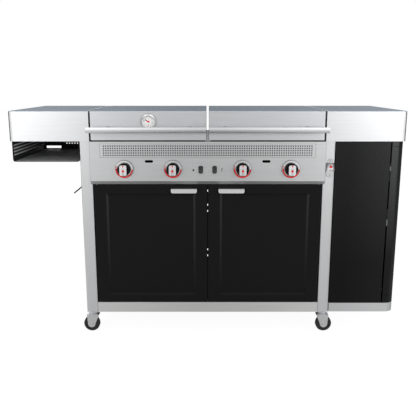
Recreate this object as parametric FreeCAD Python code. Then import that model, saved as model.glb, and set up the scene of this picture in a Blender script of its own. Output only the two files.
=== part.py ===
import FreeCAD, Part
import math
import os

V = FreeCAD.Vector
X_AXIS = V(1, 0, 0)
Y_AXIS = V(0, 1, 0)
Z_AXIS = V(0, 0, 1)

# Overall sizes, in millimetres; the front is towards -Y and the floor is at Z = 0
WIDTH = 1708.0
TOP_Z = 1013.0
TOP_DEPTH = 580.0
SHELF_H = 129.5
SHEET = 1.5
SEAT_GAP = 0.3
RUNNING_GAP = 0.05

# Legs and casters
LEG_LID_GAP = 1.3
LEG_W = 51.0
LEG_D = 40.0
LEG_WALL = 2.0
LEG_EDGE_R = 4.0
LEG_SETBACK = 10.0
REAR_LEG_SETBACK = 25.0
FOOT_PLATE = 8.0
WHEEL_R = 36.5
WHEEL_W = 22.0
TYRE_DEPTH = 11.0
CASTER_TRAIL = 8.5
FORK_SHEET = 3.0
FORK_GAP = 1.5
FORK_CROWN_GAP = 6.0
FORK_REACH = (27.0, 29.0)
FORK_END_R = 17.0
AXLE_R = 4.0
NUT_R = 7.0
NUT_H = 4.0
STEM_R = 5.5
RACE_R = 21.0
RACE_H = 16.0
RACE_WAIST = 4.0
RACE_STEPS = (4.0, 6.5, 10.0, 12.0)

# Cabinet body
RAIL_H = 47.0
PAN_H = 14.0
PANEL_FLANGE = 14.0
BACK_SETBACK = 30.0
VENT_SLOT_W = 60.0
VENT_SLOT_H = 11.0
VENT_SLOT_PITCH = 250.0
VENT_SLOT_RISES = (60.0, 94.0)
VENT_SLOT_DROPS = (427.5, 393.5, 316.5)

# Doors
DOOR_T = 20.0
DOOR_CENTRE_GAP = 3.0
DOOR_LEG_GAP = 3.0
DOOR_RAIL_GAP = 1.5
DOOR_PANEL_GAP = 2.0
DOOR_STILE = 53.0
DOOR_LOW_FRAME = 34.0
DOOR_TOP_FRAME = 40.0
DOOR_SINK = 5.0
DOOR_BEVEL = 9.0
DOOR_PIN_R = 3.0
DOOR_PIN_INSET = 12.0
DOOR_PIN_DEPTH = 5.0
DOOR_PIN_REACH = 10.0
PULL_W = 113.5
PULL_H = 21.0
PULL_OUT = 16.0
PULL_SLOPE_H = 3.0
PULL_SHEET = 2.5
PULL_INSET = 46.0
PULL_CORNER_R = 8.0
PULL_DROP = 15.0

# Control panel
PANEL_LAP = 8.0
PANEL_DROP = 1.0
PANEL_H = 187.0
PANEL_BEVEL_H = 15.0
PANEL_BEVEL_IN = 12.0
PANEL_PROUD = 2.0
PANEL_TOP_FLANGE = 60.0
PANEL_RETURN = 13.0
VENT_INSET = 46.0
VENT_MARGIN = 9.0
VENT_DROP = 10.0
VENT_H = 58.0
VENT_LAP = 4.0
VENT_SHEET = 1.2
VENT_PITCH = 10.0
VENT_HOLE = 5.4
LENS_INSET = 249.7
LENS_DROP = 85.5
LENS_W = 36.0
LENS_H = 11.5
LENS_PROUD = 0.6
LENS_LAP = 2.0

# Knobs, bezels, valves and rockers
KNOB_INSETS = (142.3, 353.3)
KNOB_RISE = 14.0
KNOB_SIDE_GAP = 3.5
BEZEL_H = 9.0
BEZEL_FLOOR = 2.0
BEZEL_RIM = 7.5
BEZEL_EDGE = 1.5
KNOB_R = 28.0
KNOB_SKIRT = 14.0
GRIP_W = 30.0
GRIP_L = 44.0
GRIP_H = 26.0
KNOB_PUSH = 4.0
STEM_SHAFT_R = 4.0
STEM_HOLE_R = 6.5
STEM_GRIP = 20.0
VALVE_R = 15.0
VALVE_LEN = 53.0
NOZZLE_R = 5.0
NOZZLE_LEN = 14.0
MANIFOLD_R = 11.0
MANIFOLD_DROP = 30.0
MANIFOLD_SETBACK = 45.0
MANIFOLD_TAILS = (36.0, 81.0)
INLET_R = 8.0
INLET_OUT = 66.0
INLET_LEN = 44.0
COLLAR_LEN = 18.0
ROCKER_X = 30.0
ROCKER_RISE = -2.5
ROCKER_W = 20.0
ROCKER_H = 34.0
ROCKER_ROUND = 0.47
ROCKER_CORNER_PLAY = 2.0
ROCKER_TILT = 7.0
HOUSING_EDGE_X = 2.8
HOUSING_EDGE_Z = 3.6
HOUSING_LIP = 3.0
HOUSING_CORNER_R = 9.0
HOUSING_WALL = 2.5
HOUSING_DEPTH = 24.0

# Firebox and what it holds
TUB_HALF_GAP = 16.0
TUB_SIDE_GAP = 12.0
VALVE_BURNER_GAP = 1.5
TUB_REAR_SETBACK = 36.0
TUB_SUMP = 26.3
TUB_FALL = 25.0
RIM_FRONT_SETBACK = 14.0
BRIDGE_HALF = 14.0
UPSTAND_W = 4.0
GRATE_DROP = 22.0
GRATE_H = 12.0
GRATE_GAP = 1.2
GRATE_BARS = 9
GRATE_BAR_W = 10.0
LEDGE_W = 12.0
DRAIN_W = 60.0
BURNER_R = 12.7
BURNER_INLET = 20.0
PLATE_HALF = 62.0
PLATE_DROP = 26.0
PLATE_FALL = 34.0
RUNNER_X = 196.0
RUNNER_LEDGE = 14.0
RUNNER_DROP = 31.0
TRAY_DEPTH = 40.0
TRAY_SETBACK = 108.75
TRAY_LIP_HALF = 60.0
TRAY_LIP = 18.0
TRAY_WINDOW_GAP = 6.0

# Lids, handles and thermometer
LID_HALF = 503.0
LID_GAP = 12.0
LID_LIFT = 5.0
LID_SHEET = 2.0
LID_EDGE_R = 4.0
HINGE_INSET = 13.25
HINGE_RISE = 8.0
HINGE_PIN_R = 4.0
HINGE_HEAD_R = 6.0
HINGE_HEAD_H = 3.0
EAR_R = 8.0
EAR_W = 5.0
EAR_INSET = 4.0
EAR_FOOT = 28.0
HANDLE_R = 12.5
HANDLE_STANDOFF = 50.0
HANDLE_DROP = 78.0
HANDLE_OVERHANG = 10.0
POST_INSETS = (70.0, 76.6)
POST_R = 9.0
POST_FLANGE_R = 11.0
POST_FLANGE_H = 4.0
GAUGE_INSET = 251.0
GAUGE_DROP = 45.0
GAUGE_R = 33.0
GAUGE_FACE_R = 23.0
GAUGE_DEPTH = 12.0
GAUGE_BACK = 2.5
LENS_T = 1.5
SPINDLE_R = 1.5
NEEDLE_L = 18.0
NEEDLE_TAIL = 6.0
NEEDLE_W = 4.0
NEEDLE_T = 1.0
NEEDLE_RISE = 1.5
NEEDLE_ANGLE = 150.0

# Shelves, bin, bar and opener
LID_SHELF_GAP = 7.7
SHELF_CORNER_R = 11.0
SHELF_FLANGE = 34.0
BIN_SIDE_INSET = 7.0
BIN_LEG_GAP = 1.0
BIN_H = 90.0
BIN_DEPTH = 490.0
BIN_CORNER_R = 11.0
BIN_RIBS = 4
BIN_RIB_DROP = 20.0
BIN_RIB_PITCH = 14.0
BIN_RIB = 3.0
BIN_SLOT_INSET = 13.0
BIN_SLOT_W = 75.5
BIN_SLOT_RISE = 7.0
BIN_SLOT_H = 12.0
BIN_HOLE_INSET = 118.0
BIN_HOLE_RISE = 32.0
BIN_HOLE_PITCH = 13.9
BIN_HOLES = 6
BIN_HOLE = 5.5
BAR_R = 3.0
BAR_STEP = 0.5
BAR_OFFSET = 48.0
BAR_DROP = 240.5
BAR_FRONT_SETBACK = 80.0
BAR_LENGTH = 400.0
BAR_POST_R = 2.5
BAR_POST_INSETS = (201.25, 21.25)
BAR_BASE_R = 9.0
BAR_BASE_H = 2.0
OPENER_DROPS = (139.5, 88.0)
OPENER_R = (17.0, 11.0)
OPENER_T = 2.5
OPENER_SIDE_GAP = 1.0
HOOD_WALL = 2.5
HOOD_TAPER = 2.5
HOOD_RISE = 9.0
HOOD_H = 36.0
HOOD_ARCH_R = 19.5

# Right cabinet
CAB_SETBACK = -8.0
CAB_GAP = 7.0
CAB_COLUMN_W = 55.5
CAB_CORNER_R = 42.0
CAB_FLANGE = 18.0
CAB_REAR_FLANGE = 15.0
CAB_DOOR_GAP = 1.5
CAB_BACK_GAP = 12.0
CAB_GROOVE_IN = 17.0
CAB_GROOVE_W = 1.2
CAB_GROOVE_D = 0.6
CAB_FOOT_LIFT = 5.0
BOTTLE_SEAT_R = 120.0
KNUCKLE_DROPS = (135.5, 338.5)
KNUCKLE_R = 2.8
KNUCKLE_H = 39.0
KNUCKLE_PIN_R = 1.5
KNUCKLE_LEAF = 9.0

# Places worked out from the driving sizes
HALF_W = WIDTH / 2
HANDLE_REACH = HANDLE_STANDOFF + HANDLE_R
FASCIA_Y = (HANDLE_REACH - TOP_DEPTH) / 2
REAR_Y = FASCIA_Y + TOP_DEPTH
SHELF_Z = TOP_Z - SHELF_H
SHELF_INNER_X = LID_HALF + LID_SHELF_GAP
LEG_INNER_X = LID_HALF + LEG_LID_GAP
LEG_X = LEG_INNER_X + LEG_W / 2
LEG_OUTER_X = LEG_INNER_X + LEG_W
LEG_FRONT_Y = FASCIA_Y + LEG_SETBACK
FRONT_LEG_Y = LEG_FRONT_Y + LEG_D / 2
REAR_LEG_Y = REAR_Y - REAR_LEG_SETBACK - LEG_D / 2
SIDE_Y = (FRONT_LEG_Y + LEG_D / 2, REAR_LEG_Y - LEG_D / 2)
FORK_TOP_Z = 2 * WHEEL_R + FORK_CROWN_GAP + FORK_SHEET
FOOT_Z = FORK_TOP_Z + RACE_H
RAIL_TOP = FOOT_Z + RAIL_H
BACK_Y = REAR_Y - BACK_SETBACK
PANEL_TOP = SHELF_Z - PANEL_DROP
PANEL_Y = FASCIA_Y - PANEL_PROUD
PANEL_BACK_Y = PANEL_Y + SHEET
PANEL_LOW = PANEL_TOP - PANEL_H
PANEL_LOW_Y = PANEL_Y + PANEL_BEVEL_IN
PANEL_HALF = LEG_INNER_X + PANEL_LAP
VENT_HALF = PANEL_HALF - VENT_INSET
VENT_Z = (PANEL_TOP - VENT_DROP - VENT_H, PANEL_TOP - VENT_DROP)
VENT_COLUMNS = int(2 * (VENT_HALF - VENT_MARGIN) / VENT_PITCH)
VENT_ROWS = int(VENT_H / VENT_PITCH)
VENT_SLOT_Z = [RAIL_TOP + rise for rise in VENT_SLOT_RISES]
VENT_SLOT_Z += [PANEL_TOP - drop for drop in VENT_SLOT_DROPS]
LENS_X = LEG_INNER_X - LENS_INSET
LENS_Z = PANEL_TOP - LENS_DROP
BEZEL_R = KNOB_R + KNOB_SIDE_GAP + BEZEL_RIM
KNOB_PAIR = [LEG_INNER_X - gap for gap in KNOB_INSETS]
KNOB_X = [-x for x in KNOB_PAIR] + KNOB_PAIR[::-1]
KNOB_Z = PANEL_LOW + PANEL_BEVEL_H + BEZEL_R + KNOB_RISE
ROCKER_Z = KNOB_Z + ROCKER_RISE
ROCKER_CORNER_R = ROCKER_ROUND * ROCKER_W
SWITCH_W = ROCKER_W + 2 * SEAT_GAP + 2 * HOUSING_WALL
SWITCH_H = ROCKER_H + 2 * SEAT_GAP + 2 * HOUSING_WALL
LID_Z = SHELF_Z + LID_LIFT
HINGE_Y = REAR_Y - HINGE_INSET
HINGE_Z = LID_Z + HINGE_RISE
INNER_EAR_X = LID_GAP / 2 + LID_SHEET + EAR_INSET
OUTER_EAR_X = LID_HALF - LID_SHEET - EAR_INSET
EAR_X = ((INNER_EAR_X, INNER_EAR_X + EAR_W), (OUTER_EAR_X - EAR_W, OUTER_EAR_X))
RIM_TOP = LID_Z - SEAT_GAP
RIM_SHEET_TOP = PANEL_TOP + SHEET
RIM_Y = (FASCIA_Y + RIM_FRONT_SETBACK, HINGE_Y - HINGE_INSET + LID_SHEET)
TUB_X = (TUB_HALF_GAP, LID_HALF - TUB_SIDE_GAP)
TUB_Y = (PANEL_BACK_Y + VALVE_LEN + VALVE_BURNER_GAP + BURNER_INLET, REAR_Y - TUB_REAR_SETBACK)
TUB_FLOOR_Z = KNOB_Z - BURNER_R - TUB_SUMP
GRATE_Z = PANEL_TOP - GRATE_DROP
PLATE_RIDGE_Z = GRATE_Z - PLATE_DROP
RUNNER_Z = TUB_FLOOR_Z - RUNNER_DROP
DOOR_X = (DOOR_CENTRE_GAP / 2, LEG_INNER_X - DOOR_LEG_GAP)
DOOR_Z = (RAIL_TOP + DOOR_RAIL_GAP, PANEL_LOW - DOOR_PANEL_GAP)
DOOR_PIN_X = DOOR_X[1] - DOOR_PIN_INSET
DOOR_PIN_Y = LEG_FRONT_Y + DOOR_PIN_DEPTH
STEM_BACK_Y = PANEL_BACK_Y + VALVE_LEN / 2
KNOB_BACK_Y = PANEL_Y - BEZEL_FLOOR - KNOB_PUSH - 2 * SEAT_GAP
MANIFOLD_Y = PANEL_BACK_Y + MANIFOLD_SETBACK
MANIFOLD_Z = KNOB_Z - MANIFOLD_DROP
MANIFOLD_ENDS = (KNOB_X[0] - MANIFOLD_TAILS[0], KNOB_X[-1] + MANIFOLD_TAILS[1])
INLET_X = KNOB_X[-1] + INLET_OUT
TRAY_FLANGE_X = RUNNER_X - SEAT_GAP
TRAY_X = RUNNER_X - RUNNER_LEDGE - 2 * SHEET
TRAY_TOP = RUNNER_Z + SEAT_GAP + SHEET
TRAY_FRONT_Y = FASCIA_Y + TRAY_SETBACK
TRAY_REAR_Y = BACK_Y - SHEET - TRAY_WINDOW_GAP / 2
CAB_Y = LEG_FRONT_Y + CAB_SETBACK
CAB_DOOR_X = HALF_W - CAB_COLUMN_W
CAB_PANEL_X = (LEG_OUTER_X, CAB_DOOR_X - CAB_GAP)
CAB_HINGE_X = CAB_DOOR_X - CAB_GAP / 2
CAB_DOOR_Z = (RAIL_TOP + CAB_DOOR_GAP, SHELF_Z - CAB_DOOR_GAP)
KNUCKLE_Z = [SHELF_Z - drop for drop in KNUCKLE_DROPS]
HANDLE_Z = TOP_Z - HANDLE_DROP
POST_X = (LID_GAP / 2 + POST_INSETS[0], LID_HALF - POST_INSETS[1])
GAUGE_X = GAUGE_INSET - LEG_INNER_X
GAUGE_Y = FASCIA_Y - GAUGE_DEPTH
GAUGE_Z = TOP_Z - GAUGE_DROP
BIN_FLOOR_Z = SHELF_Z - BIN_H
BAR_Z = SHELF_Z - BAR_DROP
OPENER_X = (PANEL_HALF + LEG_OUTER_X) / 2
OPENER_Z = [SHELF_Z - drop for drop in OPENER_DROPS]
HOOD_R = (LEG_OUTER_X - PANEL_HALF) / 2 - OPENER_SIDE_GAP
HOOD_Z = (OPENER_Z[0] + HOOD_RISE, OPENER_Z[0] + HOOD_RISE + HOOD_H)


def block(x, y, z):
    """Block between a low and a high limit on each axis."""
    return Part.makeBox(x[1] - x[0], y[1] - y[0], z[1] - z[0], V(x[0], y[0], z[0]))


def around(centre, size):
    """Limits of a size about its centre."""
    return (centre - size / 2, centre + size / 2)


def inset(limits, by):
    """Limits drawn in by the same amount at both ends."""
    return (limits[0] + by, limits[1] - by)


def rod(radius, start, end):
    """Round bar between two points."""
    return Part.makeCylinder(radius, start.distanceToPoint(end), start, end.sub(start))


def prism(points, sweep):
    """Closed outline of points, swept straight."""
    return Part.Face(Part.makePolygon(points + points[:1])).extrude(sweep)


def along_x(outline, x):
    """Outline of (y, z) points swept between two x places."""
    return prism([V(x[0], a, b) for a, b in outline], X_AXIS * (x[1] - x[0]))


def along_y(outline, y):
    """Outline of (x, z) points swept between two y places."""
    return prism([V(a, y[0], b) for a, b in outline], Y_AXIS * (y[1] - y[0]))


def along_z(outline, z):
    """Outline of (x, y) points swept between two z places."""
    return prism([V(a, b, z[0]) for a, b in outline], Z_AXIS * (z[1] - z[0]))


def mitre(a, b):
    """Joint of two unit normals at the bend of a sheet."""
    share = 1 + a[0] * b[0] + a[1] * b[1]
    return ((a[0] + b[0]) / share, (a[1] + b[1]) / share)


def fold(path, thickness=SHEET):
    """Outline of a bent sheet whose thickness lies to the left of its path."""
    lefts = []
    for a, b in zip(path, path[1:]):
        length = math.dist(a, b)
        lefts.append(((a[1] - b[1]) / length, (b[0] - a[0]) / length))
    bends = [mitre(a, b) for a, b in zip(lefts, lefts[1:])]
    normals = [lefts[0]] + bends + [lefts[-1]]
    other = [(p[0] + thickness * n[0], p[1] + thickness * n[1]) for p, n in zip(path, normals)]
    return list(path) + other[::-1]


def turned(profile, centre, axis=Y_AXIS):
    """Ring or disc turned about an axis through its centre, from (radius, along) points."""
    out = Z_AXIS if axis == X_AXIS else X_AXIS
    points = [out * r + axis * a for r, a in profile]
    shape = Part.Face(Part.makePolygon(points + points[:1])).revolve(V(), axis, 360)
    shape.translate(centre)
    return shape


def edges_at(shape, axis, place):
    """Straight edges along an axis whose middle passes a test."""
    found = []
    for edge in shape.Edges:
        ends = [v.Point for v in edge.Vertexes]
        if len(ends) == 2 and ends[1].sub(ends[0]).cross(axis).Length < 1e-6:
            if place(edge.CenterOfMass):
                found.append(edge)
    return found


def rounded(shape, radius, axis, place=lambda point: True):
    """Shape with the chosen edges rounded."""
    return shape.makeFillet(radius, edges_at(shape, axis, place))


def pill(width, height, x, y, z):
    """Bar with half-round ends, swept between two y places."""
    reach = (width - height) / 2
    middle = block(around(x, 2 * reach), y, around(z, height))
    ends = [rod(height / 2, V(x + s * reach, y[0], z), V(x + s * reach, y[1], z)) for s in (-1, 1)]
    return middle.fuse(ends).removeSplitter()


def loop(u, v, place):
    """Closed rectangle between two pairs of limits."""
    corners = [(u[0], v[0]), (u[1], v[0]), (u[1], v[1]), (u[0], v[1]), (u[0], v[0])]
    return Part.makePolygon([place(a, b) for a, b in corners])


def pierced(u, v, holes, place, sweep):
    """Plate with rectangular holes."""
    wires = [loop(u, v, place)] + [loop(hu, hv, place) for hu, hv in holes]
    return Part.makeFace(wires, "Part::FaceMakerBullseye").extrude(sweep)


def mirrored(shape):
    """The same piece on the other side of the centre line."""
    return shape.mirror(V(), X_AXIS)


def save(name, *shapes):
    """Writes the solids of one node."""
    solids = [solid for shape in shapes for solid in shape.Solids]
    whole = solids[0] if len(solids) == 1 else Part.makeCompound(solids)
    whole.exportStep("parts/" + name + ".step")


def leg(x, y):
    """Square tube with rounded edges and a foot plate bored for the caster stem."""
    tube = block(around(x, LEG_W), around(y, LEG_D), (FOOT_Z, SHELF_Z))
    tube = rounded(tube, LEG_EDGE_R, Z_AXIS)
    inside = (around(x, LEG_W - 2 * LEG_WALL), around(y, LEG_D - 2 * LEG_WALL))
    hollow = block(*inside, (FOOT_Z + FOOT_PLATE, SHELF_Z))
    bore = rod(STEM_R + RUNNING_GAP, V(x, y, FOOT_Z), V(x, y, FOOT_Z + FOOT_PLATE))
    return tube.cut(hollow).cut(bore)


def front_bottom_rail():
    """Channel between the front legs, open towards the back."""
    back = SIDE_Y[0]
    path = [(back, RAIL_TOP), (LEG_FRONT_Y, RAIL_TOP), (LEG_FRONT_Y, FOOT_Z), (back, FOOT_Z)]
    rail = along_x(fold(path), (-LEG_INNER_X, LEG_INNER_X))
    return rail.cut(door_pin_holes((RAIL_TOP - 2 * SHEET, RAIL_TOP + SHEET)))


def door_pin_holes(z):
    """Bores for the door pins at one height."""
    places = [V(s * DOOR_PIN_X, DOOR_PIN_Y, z[0]) for s in (-1, 1)]
    bores = [Part.makeCylinder(DOOR_PIN_R + RUNNING_GAP, z[1] - z[0], p) for p in places]
    return Part.makeCompound(bores)


def bottom_shelf():
    """Floor of the main cabinet, a pan turned upside down."""
    half = LEG_OUTER_X - SHEET
    low = RAIL_TOP - PAN_H
    path = [(half, low), (half, RAIL_TOP), (-half, RAIL_TOP), (-half, low)]
    return along_y(fold(path), inset(SIDE_Y, SHEET))


def side_panel():
    """Side wall between the legs, with a flange against each of them."""
    tip = LEG_OUTER_X - PANEL_FLANGE
    path = [(tip, SIDE_Y[0]), (LEG_OUTER_X, SIDE_Y[0]), (LEG_OUTER_X, SIDE_Y[1]), (tip, SIDE_Y[1])]
    return along_z(fold(path), (FOOT_Z, SHELF_Z))


def back_panel():
    """Rear wall with vent slots and a window for the grease tray."""
    x = LEG_INNER_X
    front = BACK_Y - PANEL_FLANGE
    wall = along_z(fold([(x, front), (x, BACK_Y), (-x, BACK_Y), (-x, front)]), (FOOT_Z, PANEL_TOP))
    through = (BACK_Y - 2 * SHEET, BACK_Y + SHEET)
    window_x = TRAY_FLANGE_X + TRAY_WINDOW_GAP
    window_z = (TRAY_TOP - TRAY_DEPTH - TRAY_WINDOW_GAP, TRAY_TOP + TRAY_WINDOW_GAP)
    cuts = [block((-window_x, window_x), through, window_z)]
    for x in (-VENT_SLOT_PITCH, 0, VENT_SLOT_PITCH):
        for z in VENT_SLOT_Z:
            cuts.append(block(around(x, VENT_SLOT_W), through, around(z, VENT_SLOT_H)))
    return wall.cut(cuts)


def control_panel():
    """Folded panel with a bevelled lower edge, pierced for knobs, lights, switches and vent."""
    back = PANEL_Y + PANEL_TOP_FLANGE
    bevel_z = PANEL_LOW + PANEL_BEVEL_H
    low_back = PANEL_LOW_Y + PANEL_RETURN
    path = [(back, PANEL_TOP), (PANEL_Y, PANEL_TOP), (PANEL_Y, bevel_z), (PANEL_LOW_Y, PANEL_LOW)]
    skin = along_x(fold(path + [(low_back, PANEL_LOW)]), (-PANEL_HALF, PANEL_HALF))
    end_face = path[1:] + [(LEG_FRONT_Y, PANEL_LOW), (LEG_FRONT_Y, PANEL_TOP)]
    end = along_x(end_face, (PANEL_HALF - SHEET, PANEL_HALF))
    notch = block((LEG_INNER_X, PANEL_HALF), (LEG_FRONT_Y, back), (PANEL_LOW, SHELF_Z))
    through = (PANEL_Y - SHEET, PANEL_BACK_Y + SHEET)
    cuts = [notch, mirrored(notch), block((-VENT_HALF, VENT_HALF), through, VENT_Z)]
    for x in KNOB_X:
        cuts.append(rod(STEM_HOLE_R, V(x, through[0], KNOB_Z), V(x, through[1], KNOB_Z)))
    for x in (-LENS_X, LENS_X):
        cuts.append(pill(LENS_W, LENS_H, x, through, LENS_Z))
    for x in (-ROCKER_X, ROCKER_X):
        cuts.append(housing_body(x, through, SEAT_GAP))
    cuts.append(door_pin_holes((PANEL_LOW - SHEET, PANEL_LOW + 2 * SHEET)))
    return skin.fuse([end, mirrored(end)]).removeSplitter().cut(cuts)


def housing_body(x, y, grow):
    """Outside of a switch body between two y places, grown all round."""
    return block(around(x, SWITCH_W + 2 * grow), y, around(ROCKER_Z, SWITCH_H + 2 * grow))


def vent_grille():
    """Perforated strip behind the panel's window: rows and columns of square holes."""
    edge_x = VENT_HALF + VENT_LAP
    edge_z = (VENT_Z[0] - VENT_LAP, VENT_Z[1] + VENT_LAP)
    middle_z = sum(VENT_Z) / 2
    holes = []
    for column in range(VENT_COLUMNS):
        x = (column - (VENT_COLUMNS - 1) / 2) * VENT_PITCH
        for row in range(VENT_ROWS):
            z = middle_z + (row - (VENT_ROWS - 1) / 2) * VENT_PITCH
            holes.append((around(x, VENT_HOLE), around(z, VENT_HOLE)))
    place = lambda a, b: V(a, PANEL_BACK_Y, b)
    return pierced((-edge_x, edge_x), edge_z, holes, place, Y_AXIS * VENT_SHEET)


def indicator_lens(x):
    """Pill-shaped window with a flange behind the panel."""
    front = (PANEL_Y - LENS_PROUD, PANEL_BACK_Y)
    window = pill(LENS_W - 2 * SEAT_GAP, LENS_H - 2 * SEAT_GAP, x, front, LENS_Z)
    lap = (PANEL_BACK_Y, PANEL_BACK_Y + SHEET)
    flange = pill(LENS_W + 2 * LENS_LAP, LENS_H + 2 * LENS_LAP, x, lap, LENS_Z)
    return window.fuse(flange)


def knob_bezel(x):
    """Dished ring round a knob."""
    rim = BEZEL_R - BEZEL_RIM
    profile = [(STEM_HOLE_R, 0), (BEZEL_R, 0), (BEZEL_R, -BEZEL_H / 2), (BEZEL_R - BEZEL_EDGE, -BEZEL_H)]
    profile += [(rim, -BEZEL_H), (rim - BEZEL_FLOOR / 2, -BEZEL_FLOOR), (STEM_HOLE_R, -BEZEL_FLOOR)]
    return turned(profile, V(x, PANEL_Y, KNOB_Z))


def switch_housing(x):
    """Surround and body of a rocker switch."""
    lip_x = around(x, SWITCH_W + 2 * HOUSING_EDGE_X)
    lip_z = around(ROCKER_Z, SWITCH_H + 2 * HOUSING_EDGE_Z)
    lip = block(lip_x, (PANEL_Y - HOUSING_LIP, PANEL_Y), lip_z)
    lip = rounded(lip, HOUSING_CORNER_R, Y_AXIS)
    back = PANEL_Y + HOUSING_DEPTH
    body = lip.fuse(housing_body(x, (PANEL_Y, back), 0))
    width = ROCKER_W + 2 * SEAT_GAP
    height = ROCKER_H + 2 * SEAT_GAP
    depth = (PANEL_Y - HOUSING_LIP, back - HOUSING_WALL)
    hole = block(around(x, width), depth, around(ROCKER_Z, height))
    return body.cut(rounded(hole, ROCKER_CORNER_R - ROCKER_CORNER_PLAY, Y_AXIS))


def rocker(x):
    """Tipping button with round ends and a shallow vee face, resting on its lower side."""
    radius = ROCKER_H / 2
    front = 0.55 * radius
    back = -0.25 * radius
    dip = 0.7 * front

    def rim(forward, sign):
        return V(0, -forward, sign * math.sqrt(radius**2 - forward**2))

    corners = [rim(front, 1), V(0, -dip, 0), rim(front, -1)]
    edges = [Part.makeLine(a, b) for a, b in zip(corners, corners[1:])]
    edges.append(Part.Arc(rim(front, -1), rim(0, -1), rim(back, -1)).toShape())
    edges.append(Part.makeLine(rim(back, -1), rim(back, 1)))
    edges.append(Part.Arc(rim(back, 1), rim(0, 1), rim(front, 1)).toShape())
    plan = block((0, ROCKER_W), (-radius, radius), (-radius, radius))
    shape = Part.Face(Part.Wire(edges)).extrude(X_AXIS * ROCKER_W)
    shape = shape.common(rounded(plan, ROCKER_CORNER_R, Y_AXIS))
    shape.rotate(V(), X_AXIS, ROCKER_TILT)
    shape.translate(V(x - ROCKER_W / 2, PANEL_Y + HOUSING_LIP, ROCKER_Z))
    return shape


def valve_stem(x):
    """Round shaft that the knob sits on and that slides into the valve."""
    front = KNOB_BACK_Y - STEM_GRIP + SEAT_GAP
    return rod(STEM_SHAFT_R, V(x, front, KNOB_Z), V(x, STEM_BACK_Y - KNOB_PUSH - SEAT_GAP, KNOB_Z))


def knob(x):
    """Round skirt and a straight grip bar, bored from behind for the stem."""
    skirt_y = KNOB_BACK_Y - KNOB_SKIRT
    edge = SHEET
    profile = [(0, 0), (KNOB_R, 0), (KNOB_R, edge - KNOB_SKIRT)]
    profile += [(KNOB_R - edge, -KNOB_SKIRT), (0, -KNOB_SKIRT)]
    skirt = turned(profile, V(x, KNOB_BACK_Y, KNOB_Z))
    grip = block(around(x, GRIP_W), (skirt_y - GRIP_H, skirt_y), around(KNOB_Z, GRIP_L))
    grip = rounded(grip, GRIP_W / 4, Y_AXIS)
    bore = rod(STEM_SHAFT_R + RUNNING_GAP, V(x, KNOB_BACK_Y - STEM_GRIP, KNOB_Z), V(x, KNOB_BACK_Y, KNOB_Z))
    return [skirt.cut(bore), grip.cut(bore)]


def gas_valve(x):
    """Valve body with its mounting nose, outlet nozzle and nipple down to the manifold."""
    nose = VALVE_R / 3
    bore_r = STEM_SHAFT_R + RUNNING_GAP
    tail = VALVE_LEN + NOZZLE_LEN
    profile = [(bore_r, 0), (0.8 * VALVE_R, 0), (0.8 * VALVE_R, nose), (VALVE_R, nose), (VALVE_R, VALVE_LEN)]
    profile += [(NOZZLE_R, VALVE_LEN), (NOZZLE_R, tail), (0, tail), (0, STEM_BACK_Y - PANEL_BACK_Y)]
    profile += [(bore_r, STEM_BACK_Y - PANEL_BACK_Y)]
    body = turned(profile, V(x, PANEL_BACK_Y, KNOB_Z))
    foot = V(x, MANIFOLD_Y, MANIFOLD_Z)
    nipple = rod(MANIFOLD_R / 2, foot, V(x, MANIFOLD_Y, KNOB_Z - VALVE_R + SHEET)).cut(manifold_tube())
    return body.fuse(nipple)


def manifold_tube():
    """Round outside of the manifold."""
    ends = [V(x, MANIFOLD_Y, MANIFOLD_Z) for x in MANIFOLD_ENDS]
    return rod(MANIFOLD_R, *ends)


def gas_manifold():
    """Gas rail with a collared inlet that points down."""
    top = V(INLET_X, MANIFOLD_Y, MANIFOLD_Z)
    inlet = rod(INLET_R, V(INLET_X, MANIFOLD_Y, MANIFOLD_Z - INLET_LEN), top)
    collar = rod(INLET_R + SHEET, V(INLET_X, MANIFOLD_Y, MANIFOLD_Z - COLLAR_LEN), top)
    return manifold_tube().fuse([inlet, collar]).removeSplitter()


def burner(x):
    """Burner tube: open at the air inlet, closed at the back."""
    front = TUB_Y[0] - BURNER_INLET
    back = TUB_Y[1] - SHEET
    tube = rod(BURNER_R, V(x, front, KNOB_Z), V(x, back, KNOB_Z))
    return tube.cut(rod(BURNER_R - SHEET, V(x, front, KNOB_Z), V(x, back - SHEET, KNOB_Z)))


def heat_plate(x):
    """Bent plate over a burner."""
    low = PLATE_RIDGE_Z - PLATE_FALL
    path = [(x + PLATE_HALF, low), (x, PLATE_RIDGE_Z), (x - PLATE_HALF, low)]
    return along_y(fold(path), inset(TUB_Y, SHEET))


def cooking_grates():
    """Two grates for each tub: flat bars between two end bars."""
    inner_x = inset(TUB_X, SHEET)
    width = (inner_x[1] - inner_x[0] - 3 * GRATE_GAP) / 2
    y = inset(TUB_Y, SHEET + GRATE_GAP)
    slot_y = inset(y, 2 * GRATE_BAR_W)
    pitch = (width - GRATE_BAR_W) / (GRATE_BARS - 1)
    grates = []
    for index in range(2):
        x = inner_x[0] + GRATE_GAP + index * (width + GRATE_GAP)
        slots = [(x + GRATE_BAR_W + n * pitch, x + (n + 1) * pitch) for n in range(GRATE_BARS - 1)]
        place = lambda a, b: V(a, b, GRATE_Z)
        holes = [(slot, slot_y) for slot in slots]
        grates.append(pierced((x, x + width), y, holes, place, Z_AXIS * GRATE_H))
    return grates + [mirrored(grate) for grate in grates]


def tub_body(shrink, top):
    """One tub, its floor falling towards the centre line, drawn in by a wall."""
    x = inset(TUB_X, shrink)
    low = TUB_FLOOR_Z + shrink
    outline = [(x[0], low), (x[1], low + TUB_FALL), (x[1], top), (x[0], top)]
    return along_y(outline, inset(TUB_Y, shrink))


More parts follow.
